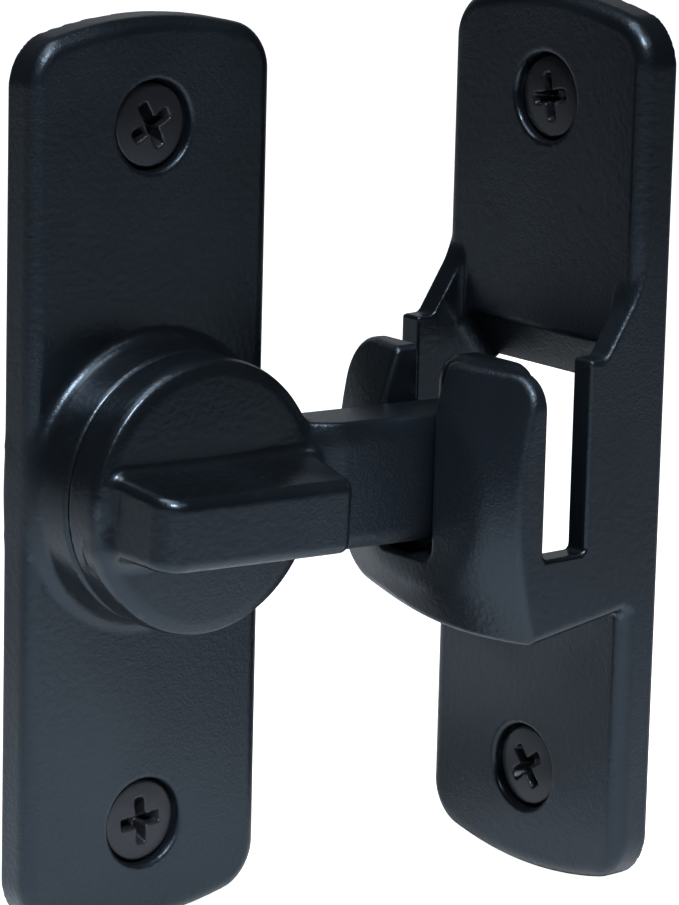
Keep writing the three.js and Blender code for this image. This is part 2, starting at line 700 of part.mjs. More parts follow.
// The space the head drops into, open at the top and through the plate, whose window has a slanted top.
function pocketProfile() {
  const slope = (WINDOW_TOP_FRONT - WINDOW_TOP_BACK) / PLATE_THICKNESS;
  return [
    [-1, WINDOW_TOP_BACK - slope],
    [PLATE_THICKNESS, WINDOW_TOP_FRONT],
    [PLATE_THICKNESS, RAMP_TOP + 5],
    [FORK_PROUD, RAMP_TOP + 5],
    [FORK_PROUD, BOWL_FLOOR],
    [-1, BOWL_FLOOR + 1],
  ].reverse();
}

function keeperPlate() {
  const half = PLATE_WIDTH / 2;
  const housing = across(housingProfile(), -half, half);
  const pocket = across(pocketProfile(), -half + CHEEK_THICKNESS, half - CHEEK_THICKNESS);
  const fork = standing(forkShape(), FORK_PROUD - FORK_THICKNESS, FORK_PROUD, FORK_EDGE);
  return cut(plateBlank().add(housing), [pocket, ...screwPlaces().map(screwHole)]).add(fork);
}

// ---------------------------------------------------------------- assembly
function screwSet(group, label, turns) {
  screwPlaces().forEach((z, index) => {
    const place = index === 0 ? "upper" : "lower";
    const screw = named(`${label}_screw_${place}`, mountingScrew(turns[index]), blackScrew());
    screw.position.z = z;
    group.add(screw);
  });
}

function boltSide() {
  const group = new THREE.Group();
  group.add(named("bolt_plate", boltPlate(), blackCoat()));
  screwSet(group, "bolt_plate", [28, 4]);
  group.add(named("friction_washer", frictionWasher(), nylon()));
  group.add(named("wave_washer", waveWasher(), bareSteel()));
  group.add(named("stop_pin", stopPin(), bareSteel()));
  ballPlaces().forEach(([x, z], index) => {
    const place = index === 0 ? "upper" : "lower";
    group.add(named(`detent_ball_${place}`, ball(x, z, BALL_RADIUS), bareSteel()));
    group.add(named(`detent_spring_${place}`, detentSpring(x, z), bareSteel()));
  });
  return group;
}

function turningSide() {
  const group = new THREE.Group();
  group.add(named("flip_bolt", flipBolt(), blackCoat()));
  group.add(named("retaining_washer", retainingWasher(), bareSteel()));
  group.add(named("pivot_screw", pivotScrew(), bareSteel()));
  group.rotation.y = THREE.MathUtils.degToRad(REST_DROOP);
  return group;
}

function keeperSide() {
  const group = new THREE.Group();
  group.add(named("keeper_plate", keeperPlate(), blackCoat()));
  screwSet(group, "keeper", [12, 38]);
  group.rotation.z = -Math.PI / 2;
  group.position.set(KEEPER_REACH, KEEPER_SET_BACK - PLATE_WIDTH / 2, KEEPER_RISE);
  return group;
}

const latch = new THREE.Group();
latch.add(boltSide(), turningSide(), keeperSide());
latch.updateMatrixWorld(true);
const middle = new THREE.Box3().setFromObject(latch, true).getCenter(new THREE.Vector3());
latch.position.copy(middle.negate());
latch.updateMatrixWorld(true);

export default latch;
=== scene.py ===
"""Looks of a surface-mounted flip bolt latch: a bolt plate with a thumb-turned bar, and a forked keeper.

Castings are described as distance fields in millimetres, in the coordinates of the plate that carries
them: "across" the plate, "proud" of the face it is mounted on, and "up". A field is negative inside the
metal. Its zero surface is skinned with quads, and the result is placed in metres in the row frame.
"""

import logging
import math
from collections.abc import Callable
from dataclasses import dataclass, field
from enum import Enum

import bpy
import numpy as np
from mathutils import Matrix, Vector

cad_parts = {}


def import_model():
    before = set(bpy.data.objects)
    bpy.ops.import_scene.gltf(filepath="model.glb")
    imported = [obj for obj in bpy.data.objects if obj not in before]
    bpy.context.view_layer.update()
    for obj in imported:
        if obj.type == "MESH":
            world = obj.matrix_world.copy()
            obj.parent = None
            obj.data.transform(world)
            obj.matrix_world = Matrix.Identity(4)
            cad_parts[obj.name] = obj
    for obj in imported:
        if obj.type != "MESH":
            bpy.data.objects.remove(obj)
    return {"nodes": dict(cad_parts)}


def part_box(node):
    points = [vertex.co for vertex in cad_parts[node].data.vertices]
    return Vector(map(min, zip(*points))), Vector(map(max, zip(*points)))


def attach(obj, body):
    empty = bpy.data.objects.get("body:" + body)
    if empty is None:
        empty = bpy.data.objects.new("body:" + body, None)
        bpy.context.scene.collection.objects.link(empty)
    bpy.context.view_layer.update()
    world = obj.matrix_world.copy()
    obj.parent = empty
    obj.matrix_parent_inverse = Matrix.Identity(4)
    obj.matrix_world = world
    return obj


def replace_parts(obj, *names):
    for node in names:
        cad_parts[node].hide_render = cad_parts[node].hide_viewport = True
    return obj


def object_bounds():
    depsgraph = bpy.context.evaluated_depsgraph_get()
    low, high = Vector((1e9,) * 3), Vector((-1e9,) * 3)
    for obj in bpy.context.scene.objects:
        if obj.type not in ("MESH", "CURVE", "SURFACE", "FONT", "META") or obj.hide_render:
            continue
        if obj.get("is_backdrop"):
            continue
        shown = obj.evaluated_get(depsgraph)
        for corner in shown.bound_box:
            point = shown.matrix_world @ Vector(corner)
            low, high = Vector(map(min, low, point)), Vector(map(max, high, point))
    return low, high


Array = np.ndarray
Field = Callable[[Array, Array, Array], Array]
MM = 0.001

log = logging.getLogger("latch")


# ---------------------------------------------------------------- distance fields
def round_both(a: Array, b: Array, radius: Array | float) -> Array:
    """Where two solids overlap, with their shared outer edge rounded.

    Args:
        a: Distance to the first solid.
        b: Distance to the second solid.
        radius: Radius of the rounding.

    Returns:
        Distance to the shared part.
    """
    corner = np.hypot(np.maximum(a + radius, 0), np.maximum(b + radius, 0))
    return np.minimum(-radius, np.maximum(a, b)) + corner


def round_either(a: Array, b: Array, radius: Array | float) -> Array:
    """Two solids joined, with a fillet in the corner between them.

    Args:
        a: Distance to the first solid.
        b: Distance to the second solid.
        radius: Radius of the fillet.

    Returns:
        Distance to the joined solid.
    """
    corner = np.hypot(np.maximum(radius - a, 0), np.maximum(radius - b, 0))
    return np.maximum(radius, np.minimum(a, b)) - corner


def round_without(a: Array, b: Array, radius: Array | float) -> Array:
    """The first solid with the second cut out of it, and the cut's edge rounded.

    Args:
        a: Distance to the solid that stays.
        b: Distance to the solid that is removed.
        radius: Radius of the rounding.

    Returns:
        Distance to what is left.
    """
    return round_both(a, -b, radius)


def slab(value: Array, low: float, high: float) -> Array:
    """Distance to the space between two parallel planes."""
    return np.maximum(low - value, value - high)


def line(u: Array, v: Array, start: tuple[float, float], end: tuple[float, float]) -> Array:
    """Distance to the half plane on the right of a line, seen along it.

    Args:
        u: First coordinate.
        v: Second coordinate.
        start: A point on the line.
        end: Another point further along it.

    Returns:
        Signed distance, negative on the right.
    """
    du, dv = end[0] - start[0], end[1] - start[1]
    length = math.hypot(du, dv)
    return ((v - start[1]) * du - (u - start[0]) * dv) / length


def ease(value: Array, low: float, high: float) -> Array:
    """Rises smoothly from 0 at low to 1 at high."""
    share = np.clip((value - low) / (high - low), 0, 1)
    return share * share * (3 - 2 * share)


# ---------------------------------------------------------------- skinning
@dataclass(frozen=True)
class Mould:
    """Skins a distance field with quads.

    Attributes:
        step: Spacing of the sampling grid, in millimetres.
    """

    step: float

    def skin(self, shape: Field, low: tuple, high: tuple) -> tuple[Array, Array, Array]:
        """Meshes the zero surface of a field inside a box.

        Args:
            shape: The distance field.
            low: Lowest corner of the solid.
            high: Highest corner of the solid.

        Returns:
            Points, quads and outward normals, in the field's own coordinates.
        """
        axes = [
            np.arange(a - 2.37 * self.step, b + 3 * self.step, self.step)
            for a, b in zip(low, high)
        ]
        value = shape(*np.meshgrid(*axes, indexing="ij"))
        inside = value < 0
        shown = [n - 1 for n in value.shape]
        count = np.zeros(shown, np.int8)
        for i in (0, 1):
            for j in (0, 1):
                for k in (0, 1):
                    count += inside[i : i + shown[0], j : j + shown[1], k : k + shown[2]]
        cells = np.argwhere((count > 0) & (count < 8))
        label = np.full(shown, -1)
        label[tuple(cells.T)] = np.arange(len(cells))
        points = self._middles(value, cells)
        origin = np.array([a[0] for a in axes])
        points = origin + points * self.step
        quads = np.vstack([self._faces(inside, label, axis) for axis in range(3)])
        for _ in range(4):
            points = self._settle(shape, points)
        return points, quads, self._slope(shape, points)[1]

    def _middles(self, value: Array, cells: Array) -> Array:
        """Mean of the places where the surface crosses the edges of each cell, in grid units.

        Args:
            value: Field values on the grid.
            cells: Indices of the cells that the surface crosses.

        Returns:
            One point for each cell, in grid units.
        """
        total = np.zeros((len(cells), 3))
        found = np.zeros(len(cells))
        for axis in range(3):
            for b in (0, 1):
                for c in (0, 1):
                    near = np.zeros(3, int)
                    near[(axis + 1) % 3], near[(axis + 2) % 3] = b, c
                    far = near.copy()
                    far[axis] = 1
                    v0 = value[tuple((cells + near).T)]
                    v1 = value[tuple((cells + far).T)]
                    crossed = (v0 < 0) != (v1 < 0)
                    share = np.where(crossed, v0 / np.where(crossed, v0 - v1, 1), 0)
                    place = cells + near + share[:, None] * (far - near)
                    total += np.where(crossed[:, None], place, 0)
                    found += crossed
        return total / found[:, None]

    @staticmethod
    def _faces(inside: Array, label: Array, axis: int) -> Array:
        """Quads across the grid edges that run along one axis.

        Args:
            inside: Which grid points lie inside the solid.
            label: Number of each cell's vertex.
            axis: Axis that the edges run along.

        Returns:
            Four vertex numbers for each quad, wound outwards.
        """
        near = np.moveaxis(np.moveaxis(inside, axis, 0)[:-1], 0, axis)
        far = np.moveaxis(np.moveaxis(inside, axis, 0)[1:], 0, axis)
        edges = np.argwhere(near != far)
        outward = near[tuple(edges.T)]
        corners = []
        for b, c in ((-1, -1), (0, -1), (0, 0), (-1, 0)):
            shift = np.zeros(3, int)
            shift[(axis + 1) % 3], shift[(axis + 2) % 3] = b, c
            corners.append(label[tuple((edges + shift).T)])
        quads = np.stack(corners, 1)
        quads[~outward] = quads[~outward][:, ::-1]
        return quads

    def _slope(self, shape: Field, points: Array) -> tuple[Array, Array]:
        """Steepness and unit direction of the field at some points.

        Args:
            shape: Distance field of the solid.
            points: Points, one in each row, in mm.

        Returns:
            The steepness, and the unit direction in which the field grows.
        """
        reach = 0.03
        columns = []
        for axis in range(3):
            shift = np.zeros(3)
            shift[axis] = reach
            ahead = shape(*(points + shift).T)
            behind = shape(*(points - shift).T)
            columns.append((ahead - behind) / (2 * reach))
        slope = np.stack(columns, 1)
        size = np.maximum(np.linalg.norm(slope, axis=1), 1e-6)
        return size, slope / size[:, None]

    def _settle(self, shape: Field, points: Array) -> Array:
        """Moves points onto the zero surface, by at most a third of a step.

        Args:
            shape: Distance field of the solid.
            points: Points, one in each row, in mm.

        Returns:
            The moved points.
        """
        size, way = self._slope(shape, points)
        move = shape(*points.T) / size
        limit = self.step / 3
        return points - way * np.clip(move, -limit, limit)[:, None]


@dataclass(frozen=True)
class Seat:
    """Where a plate's own coordinates lie in the row frame.

    Attributes:
        origin: The plate's centre on its mounting face, in metres.
        across: Direction across the plate.
        proud: Direction out of the mounting face.
        up: Direction up the plate.
    """

    origin: Vector
    across: Vector
    proud: Vector
    up: Vector

    def place(self, points: Array) -> Array:
        """Takes points from the plate's millimetres to the row frame's metres."""
        turn = np.array([self.across, self.proud, self.up])
        return points @ turn * MM + np.array(self.origin)

    def turn(self, directions: Array) -> Array:
        """Takes directions from the plate's coordinates to the row frame."""
        return directions @ np.array([self.across, self.proud, self.up])


def drooped(seat: Seat, degrees: float) -> Seat:
    """The same seat turned about its proud axis, so that across dips below level.

    Args:
        seat: The seat to turn.
        degrees: How far across dips.

    Returns:
        The turned seat.
    """
    angle = math.radians(degrees)
    across = seat.across * math.cos(angle) - seat.up * math.sin(angle)
    up = seat.up * math.cos(angle) + seat.across * math.sin(angle)
    return Seat(seat.origin, across, seat.proud, up)


def cast(name: str, skin: tuple[Array, Array, Array], seat: Seat) -> bpy.types.Object:
    """Makes a mesh object from a skin, with normals taken from its field.

    Args:
        name: Name of the piece.
        skin: Points, quads and normals.
        seat: Where the skin's coordinates lie.

    Returns:
        The new object.
    """
    points, quads, normals = skin
    mesh = bpy.data.meshes.new(name)
    mesh.from_pydata(seat.place(points).tolist(), [], quads[:, ::-1].tolist())
    mesh.validate()
    mesh.update()
    mesh.shade_smooth()
    mesh.normals_split_custom_set_from_vertices(seat.turn(normals).tolist())
    made = bpy.data.objects.new(name, mesh)
    bpy.context.scene.collection.objects.link(made)
    log.info("%s: %d faces", name, len(mesh.polygons))
    return made


# ---------------------------------------------------------------- shader nodes
class Bench:
    """Adds nodes to one node tree and joins them."""

    def __init__(self, tree: bpy.types.NodeTree) -> None:
        """Takes the tree to work in."""
        self.tree = tree

    def node(self, kind: str, inputs: dict | None = None, **settings: object) -> bpy.types.Node:
        """Adds a node.

        Args:
            kind: Blender's name for the node type, without its ShaderNode prefix.
            inputs: What goes into its sockets: another socket, or a plain value.
            **settings: Properties of the node.

        Returns:
            The new node.
        """
        made = self.tree.nodes.new(kind if kind.startswith("Node") else "ShaderNode" + kind)
        for key, setting in settings.items():
            setattr(made, key, setting)
        for key, given in (inputs or {}).items():
            if isinstance(given, bpy.types.NodeSocket):
                self.tree.links.new(given, made.inputs[key])
            else:
                made.inputs[key].default_value = given
        return made

    def math(self, operation: str, *inputs: object) -> bpy.types.NodeSocket:
        """Adds a Math node and returns what comes out of it."""
        return self.node("Math", dict(enumerate(inputs)), operation=operation).outputs[0]

    def span(self, value: object, low: float, high: float, to_low: float, to_high: float) -> object:
        """Maps a value smoothly from one range to another.

        Args:
            value: The socket to read.
            low: Value that becomes to_low.
            high: Value that becomes to_high.
            to_low: Low end of the new range.
            to_high: High end of the new range.

        Returns:
            The mapped socket.
        """
        given = {0: value, 1: low, 2: high, 3: to_low, 4: to_high}
        made = self.node("MapRange", given, interpolation_type="SMOOTHSTEP")
        return made.outputs[0]


def new_group(name: str, inputs: dict[str, float], outputs: list[str]) -> tuple:
    """Starts a shader node group with number sockets.

    Args:
        name: Name of the group.
        inputs: Input names with their usual values.
        outputs: Output names.

    Returns:
        The group, a bench to work on it, its input sockets by name, and its output node.
    """
    group = bpy.data.node_groups.new(name, "ShaderNodeTree")
    for key, usual in inputs.items():
        made = group.interface.new_socket(key, in_out="INPUT", socket_type="NodeSocketFloat")
        made.default_value = usual
    for key in outputs:
        group.interface.new_socket(key, in_out="OUTPUT", socket_type="NodeSocketFloat")
    bench = Bench(group)
    given = bench.node("NodeGroupInput").outputs
    return group, bench, given, bench.node("NodeGroupOutput")


def cast_grain() -> bpy.types.NodeTree:
    """Orange peel and fine grit of a coated casting, stronger in some places than in others.

    Returns:
        The node group.
    """
    group, bench, given, out = new_group(
        "cast_grain",
        {"Peel Scale": 700.0, "Grit Scale": 2600.0, "Grit Share": 0.5, "Patch Scale": 45.0},
        ["Height", "Patch", "Tone"],
    )
    place = bench.node("TexCoord").outputs["Object"]

    def noise(scale: object, detail: float, rough: float = 0.5) -> bpy.types.NodeSocket:
        """Adds plain noise and returns its value."""
        sockets = {"Vector": place, "Scale": scale, "Detail": detail, "Roughness": rough}
        return bench.node("TexNoise", sockets).outputs["Fac"]

    patch = bench.span(noise(given["Patch Scale"], 1.5), 0.36, 0.64, 0.0, 1.0)
    peel = noise(given["Peel Scale"], 2.0, 0.45)
    grit = noise(given["Grit Scale"], 2.0, 0.6)
    rough_grit = bench.math("MULTIPLY", grit, bench.math("MULTIPLY", patch, given["Grit Share"]))
    bench.tree.links.new(bench.math("ADD", peel, rough_grit), out.inputs["Height"])
    bench.tree.links.new(patch, out.inputs["Patch"])
    bench.tree.links.new(noise(given["Patch Scale"], 6.0, 0.62), out.inputs["Tone"])
    return group


def worn_edges() -> bpy.types.NodeTree:
    """Where outward edges have lost their bloom and shine: a mask from the surface's own ridges.

    Returns:
        The node group.
    """
    group, bench, given, out = new_group("worn_edges", {"Amount": 1.0, "Breakup Scale": 320.0}, ["Mask"])
    ridge = bench.span(bench.node("NewGeometry").outputs["Pointiness"], 0.54, 0.62, 0.0, 1.0)
    place = bench.node("TexCoord").outputs["Object"]
    broken = bench.node(
        "TexNoise", {"Vector": place, "Scale": given["Breakup Scale"], "Detail": 3.0}
    ).outputs["Fac"]
    broken = bench.span(broken, 0.3, 0.65, 0.35, 1.0)
    mask = bench.math("MULTIPLY", bench.math("MULTIPLY", ridge, broken), given["Amount"])
    bench.tree.links.new(mask, out.inputs["Mask"])
    return group


def settled_dust() -> bpy.types.NodeTree:
    """A trace of dust on faces that look up: a mask from the surface's direction and a fine noise.

    Returns:
        The node group.
    """
    group, bench, given, out = new_group("settled_dust", {"Amount": 0.2, "Speck Scale": 1500.0}, ["Mask"])
    facing = bench.node("SeparateXYZ", {0: bench.node("NewGeometry").outputs["Normal"]}).outputs["Z"]
    place = bench.node("TexCoord").outputs["Object"]
    specks = bench.node(
        "TexNoise", {"Vector": place, "Scale": given["Speck Scale"], "Detail": 4.0}
    ).outputs["Fac"]
    upward = bench.span(facing, 0.35, 1.0, 0.0, 1.0)
    lying = bench.math("MULTIPLY", upward, bench.span(specks, 0.4, 0.75, 0.0, 1.0))
    bench.tree.links.new(bench.math("MULTIPLY", lying, given["Amount"]), out.inputs["Mask"])
    return group


class Finish(Enum):
    """The latch's finishes, by the record's slot names."""

    COAT = "black_coat"
    SCREW = "black_screw"
    STEEL = "bare_steel"
    NYLON = "nylon"


@dataclass(frozen=True)
class FinishLook:
    """How one finish looks.

    Attributes:
        base: Colour of the smooth surface.
        lifted: Colour where the surface is mottled lighter.
        edge: Colour along worn edges.
        sheen: Tint of its reflections.
        metallic: Share of bare metal.
        rough: Roughness at the smoothest and the roughest places.
        coat: Weight of the clear top layer.
        coat_rough: Roughness of the clear top layer.
        depth: Height of the grain, in metres.
        peel: Scale of the orange peel.
        grit: Scale of the fine grit.
        grit_share: Strength of the grit beside the peel.
        wear: Strength of the edge wear.
        dust: Strength of the dust.
    """

    base: tuple[float, float, float]
    lifted: tuple[float, float, float]
    edge: tuple[float, float, float]
    sheen: tuple[float, float, float]
    metallic: float
    rough: tuple[float, float]
    coat: float
    coat_rough: float
    depth: float
    peel: float
    grit: float
    grit_share: float
    wear: float
    dust: float


LOOKS = {
    Finish.COAT: FinishLook(
        base=(0.0030, 0.0040, 0.0054),
        lifted=(0.0055, 0.0073, 0.0100),
        edge=(0.020, 0.026, 0.034),
        sheen=(0.62, 0.80, 1.0),
        metallic=0.0,
        rough=(0.27, 0.36),
        coat=0.08,
        coat_rough=0.22,
        depth=0.00004,
        peel=1500.0,
        grit=4000.0,
        grit_share=1.5,
        wear=0.7,
        dust=0.008,
    ),
    Finish.SCREW: FinishLook(
        base=(0.0100, 0.0108, 0.0135),
        lifted=(0.016, 0.017, 0.021),
        edge=(0.050, 0.054, 0.062),
        sheen=(0.85, 0.92, 1.0),
        metallic=0.35,
        rough=(0.27, 0.40),
        coat=0.15,
        coat_rough=0.2,
        depth=0.00002,
        peel=1400.0,
        grit=3600.0,
        grit_share=0.6,
        wear=1.0,
        dust=0.05,
    ),
    Finish.STEEL: FinishLook(
        base=(0.36, 0.37, 0.38),
        lifted=(0.46, 0.47, 0.48),
        edge=(0.62, 0.63, 0.64),
        sheen=(1.0, 1.0, 1.0),
        metallic=1.0,
        rough=(0.24, 0.38),
        coat=0.0,
        coat_rough=0.1,
        depth=0.000012,
        peel=1800.0,
        grit=5200.0,
        grit_share=0.8,
        wear=0.6,
        dust=0.0,
    ),
    Finish.NYLON: FinishLook(
        base=(0.58, 0.55, 0.47),
        lifted=(0.66, 0.63, 0.56),
        edge=(0.72, 0.70, 0.64),
        sheen=(1.0, 1.0, 1.0),
        metallic=0.0,
        rough=(0.45, 0.6),
        coat=0.0,
        coat_rough=0.3,
        depth=0.00001,
        peel=1200.0,
        grit=4200.0,
        grit_share=0.4,
        wear=0.3,
        dust=0.0,
    ),
}


@dataclass
class Paintshop:
    """Makes each finish once and keeps it.

    Attributes:
        grain: Node group for the casting's grain.
        wear: Node group for worn edges.
        dust: Node group for settled dust.
        made: Materials made so far.
    """

    grain: bpy.types.NodeTree = field(default_factory=cast_grain)
    wear: bpy.types.NodeTree = field(default_factory=worn_edges)
    dust: bpy.types.NodeTree = field(default_factory=settled_dust)
    made: dict[Finish, bpy.types.Material] = field(default_factory=dict)

    def finish(self, which: Finish) -> bpy.types.Material:
        """The material for a finish, made the first time it is asked for.

        Args:
            which: The finish that is wanted.

        Returns:
            Its material.
        """
        if which not in self.made:
            self.made[which] = self._mix(which.value, LOOKS[which])
        return self.made[which]

    def _mix(self, name: str, look: FinishLook) -> bpy.types.Material:
        """Builds the nodes of one finish.

        Args:
            name: Name of the material.
            look: How it looks.

        Returns:
            The new material.
        """
        material = bpy.data.materials.new(name)
        material.use_nodes = True
        bench = Bench(material.node_tree)
        shader = material.node_tree.nodes["Principled BSDF"]
        grain = bench.node(
            "Group",
            {},
            node_tree=self.grain,
        )
        grain.inputs["Peel Scale"].default_value = look.peel
        grain.inputs["Grit Scale"].default_value = look.grit
        grain.inputs["Grit Share"].default_value = look.grit_share
        wear = bench.node("Group", {}, node_tree=self.wear)
        wear.inputs["Amount"].default_value = look.wear
        dust = bench.node("Group", {}, node_tree=self.dust)
        dust.inputs["Amount"].default_value = look.dust

        def blend(share: object, first: object, second: object) -> bpy.types.NodeSocket:
            """Mixes two colours.

            Args:
                share: How much of the second colour to take.
                first: First colour, plain or from a socket.
                second: Second colour, plain or from a socket.

            Returns:
                Socket with the mixed colour.
            """
            made = bench.node("Mix", {0: share}, data_type="RGBA")
            for socket, given in ((made.inputs[6], first), (made.inputs[7], second)):
                if isinstance(given, tuple):
                    socket.default_value = (*given, 1.0)
                else:
                    bench.tree.links.new(given, socket)
            return made.outputs[2]

        tone = bench.span(grain.outputs["Tone"], 0.35, 0.7, 0.0, 1.0)
        colour = blend(tone, look.base, look.lifted)
        colour = blend(wear.outputs["Mask"], colour, look.edge)
        colour = blend(dust.outputs["Mask"], colour, (0.27, 0.30, 0.33))
        rough = bench.span(grain.outputs["Patch"], 0.0, 1.0, *look.rough)
        rough = bench.math("MULTIPLY_ADD", wear.outputs["Mask"], -0.1, rough)
        bump = bench.node(
            "Bump", {"Height": grain.outputs["Height"], "Distance": look.depth, "Strength": 1.0}
        )
        bench.tree.links.new(colour, shader.inputs["Base Color"])
        bench.tree.links.new(rough, shader.inputs["Roughness"])
        bench.tree.links.new(bump.outputs["Normal"], shader.inputs["Normal"])
        shader.inputs["Metallic"].default_value = look.metallic
        shader.inputs["Specular Tint"].default_value = (*look.sheen, 1.0)
        shader.inputs["Coat Weight"].default_value = look.coat
        shader.inputs["Coat Roughness"].default_value = look.coat_rough
        return material


def dress(piece: bpy.types.Object, shop: Paintshop, which: Finish, body: str) -> bpy.types.Object:
    """Gives a piece its finish and its body.

    Args:
        piece: The piece.
        shop: Where finishes come from.
        which: The finish.
        body: The body it moves with.

    Returns:
        The same piece.
    """
    piece.data.materials.clear()
    piece.data.materials.append(shop.finish(which))
    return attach(piece, body)


# ---------------------------------------------------------------- sub-assemblies
@dataclass(frozen=True)
class ScrewWell:
    """The countersunk well for one mounting screw.

    Attributes:
        radius: Radius of the well.
        hole: Radius of the clearance hole.
        foot: Height of the cone's narrow end.
        seat: Height of the cone's wide end.
        lip: Rounding at the plate's face.
    """

    radius: float = 4.6
    hole: float = 2.2
    foot: float = 0.7
    seat: float = 2.9
    lip: float = 0.45

    def void(self, x: Array, p: Array, z: Array, height: float) -> Array:
        """Distance to the empty space of a well centred at a height up the plate.

        Args:
            x: Across the plate, in mm.
            p: Height off the mounting plane, in mm.
            z: Up the plate, in mm.
            height: Height of the well's centre above the middle, in mm.

        Returns:
            Signed distance in mm, below zero inside.
        """
        out = np.hypot(x, z - height)
        cone = line(p, out, (self.foot, self.hole), (self.seat, self.radius))
        return np.minimum(np.maximum(cone, out - self.radius), out - self.hole)


@dataclass(frozen=True)
class Plate:
    """A mounting plate with arched ends and a rounded front edge.

    Attributes:
        width: Width across.
        height: Height at the crown of the arches.
        thickness: Thickness.
        rise: How far each arch rises.
        corner: Rounding of the outline's corners.
        edge: Rounding of the front edge.
        back_edge: Rounding of the back edge.
        screws: Heights of the screws above and below the middle.
        well: The well for each screw.
    """

    width: float = 30.0
    height: float = 94.0
    thickness: float = 4.3
    rise: float = 2.5
    corner: float = 3.8
    edge: float = 1.75
    back_edge: float = 0.2
    screws: float = 36.0
    well: ScrewWell = ScrewWell()

    def outline(self, x: Array, z: Array) -> Array:
        """Distance to the plate's outline.

        Args:
            x: Across the plate, in mm.
            z: Up the plate, in mm.

        Returns:
            Signed distance in mm, below zero inside.
        """
        half = self.width / 2
        arch = (half * half + self.rise**2) / (2 * self.rise)
        centre = self.height / 2 - arch
        ends = np.hypot(x, np.maximum(np.abs(z) - centre, 0)) - arch
        return round_both(np.abs(x) - half, ends, self.corner)

    def blank(self, x: Array, p: Array, z: Array) -> Array:
        """Distance to the plate before its wells are cut."""
        front = round_both(self.outline(x, z), p - self.thickness, self.edge)
        return round_both(front, -p, self.back_edge)

    def drilled(self, solid: Array, x: Array, p: Array, z: Array) -> Array:
        """A solid with both screw wells cut out of it.

        Args:
            solid: Distance to the solid at the same places.
            x: Across the plate, in mm.
            p: Height off the mounting plane, in mm.
            z: Up the plate, in mm.

        Returns:
            Signed distance in mm, below zero inside.
        """
        for height in (self.screws, -self.screws):
            solid = round_without(solid, self.well.void(x, p, z, height), self.well.lip)
        return solid


@dataclass(frozen=True)
class MountingScrew:
    """A countersunk cross-head wood screw.

    Attributes:
        head: Radius of the head.
        rim: Height of the head's rim above the mounting face.
        cone: Height of the cone's narrow end.
        dome: How far the head's face rises.
        core: Radius of the thread's core.
        thread: Height of the thread.
        pitch: Pitch of the thread.
        reach: Depth of the point behind the mounting face.
        point: Length of the point.
        arm: Half length of each arm of the cross at the face.
        arm_width: Half width of each arm at the face.
        cross: Depth of the cross.
    """

    head: float = 4.3
    rim: float = 3.45
    cone: float = 0.95
    dome: float = 0.35
    core: float = 1.45
    thread: float = 0.42
    pitch: float = 1.55
    reach: float = 12.0
    point: float = 4.0
    arm: float = 2.5
    arm_width: float = 0.6
    cross: float = 1.9

    def solid(self, turn: float) -> Field:
        """Distance field of the screw.

        Args:
            turn: Angle of the cross, in degrees.

        Returns:
            The field, centred on the screw's axis.
        """
        angle = math.radians(turn)
        cosine, sine = math.cos(angle), math.sin(angle)

        def shape(x: Array, p: Array, z: Array) -> Array:
            """Distance to the screw.

            Args:
                x: Across the plate, in mm.
                p: Height off the mounting plane, in mm.
                z: Up the plate, in mm.

            Returns:
                Signed distance in mm, below zero inside.
            """
            out = np.hypot(x, z)
            top = self.rim + self.dome * (1 - np.minimum(out / self.head, 1) ** 2)
            cone = line(p, out, (self.cone - 0.4, self.core), (self.rim - 0.3, self.head))
            head = round_both(np.maximum(cone, out - self.head), p - top, 0.25)
            taper = np.clip((p + self.reach) / self.point, 0, 1)
            turns = np.mod(p / self.pitch - np.arctan2(z, x) / (2 * math.pi), 1)
            crest = np.maximum(1 - np.abs(turns - 0.5) * 3.2, 0) * ease(-p, 0.2, 1.6)
            shank = np.maximum(out - (self.core + self.thread * crest) * taper, p - self.rim + 0.6)
            body = round_either(head, np.maximum(shank * 0.75, -self.reach - p), 0.3)
            u, v = np.abs(x * cosine + z * sine), np.abs(z * cosine - x * sine)
            deep = top - p
            arms = [
                round_both(a - self.arm + 0.5 * deep, b - self.arm_width + 0.14 * deep, 0.3)
                for a, b in ((u, v), (v, u))
            ]
            cross = round_both(round_either(*arms, 0.25), deep - self.cross, 0.2)
            return round_without(body, cross, 0.12)

        return shape

    def build(self, name: str, mould: Mould, seat: Seat, turn: float) -> bpy.types.Object:
        """Makes the screw's mesh.

        Args:
            name: Name of the piece.
            mould: How finely it is skinned.
            seat: Where it goes.
            turn: Angle of the cross, in degrees.

        Returns:
            The new object.
        """
        low = (-self.head, -self.reach, -self.head)
        high = (self.head, self.rim + self.dome, self.head)
        return cast(name, mould.skin(self.solid(turn), low, high), seat)


def moved_up(seat: Seat, height: float) -> Seat:
    """The same seat moved up its plate by a number of millimetres."""
    return Seat(seat.origin + seat.up * height * MM, seat.across, seat.proud, seat.up)


@dataclass(frozen=True)
class Pivot:
    """Sizes that the boss and the knob share.

    Attributes:
        spindle: Radius of the spindle.
        ball_circle: Radius of the circle of detent balls.
        ball: Radius of a ball.
        pin_circle: Radius of the circle of the stop pin.
        pin: Radius of the stop pin.
        pin_angle: Angle of the stop pin, in degrees.
        fit: Running clearance.
        loose: Clearance where parts only pass each other.
    """

    spindle: float = 5.0
    ball_circle: float = 11.6
    ball: float = 1.4
    pin_circle: float = 9.25
    pin: float = 0.85
    pin_angle: float = 35.0
    fit: float = 0.1
    loose: float = 0.3


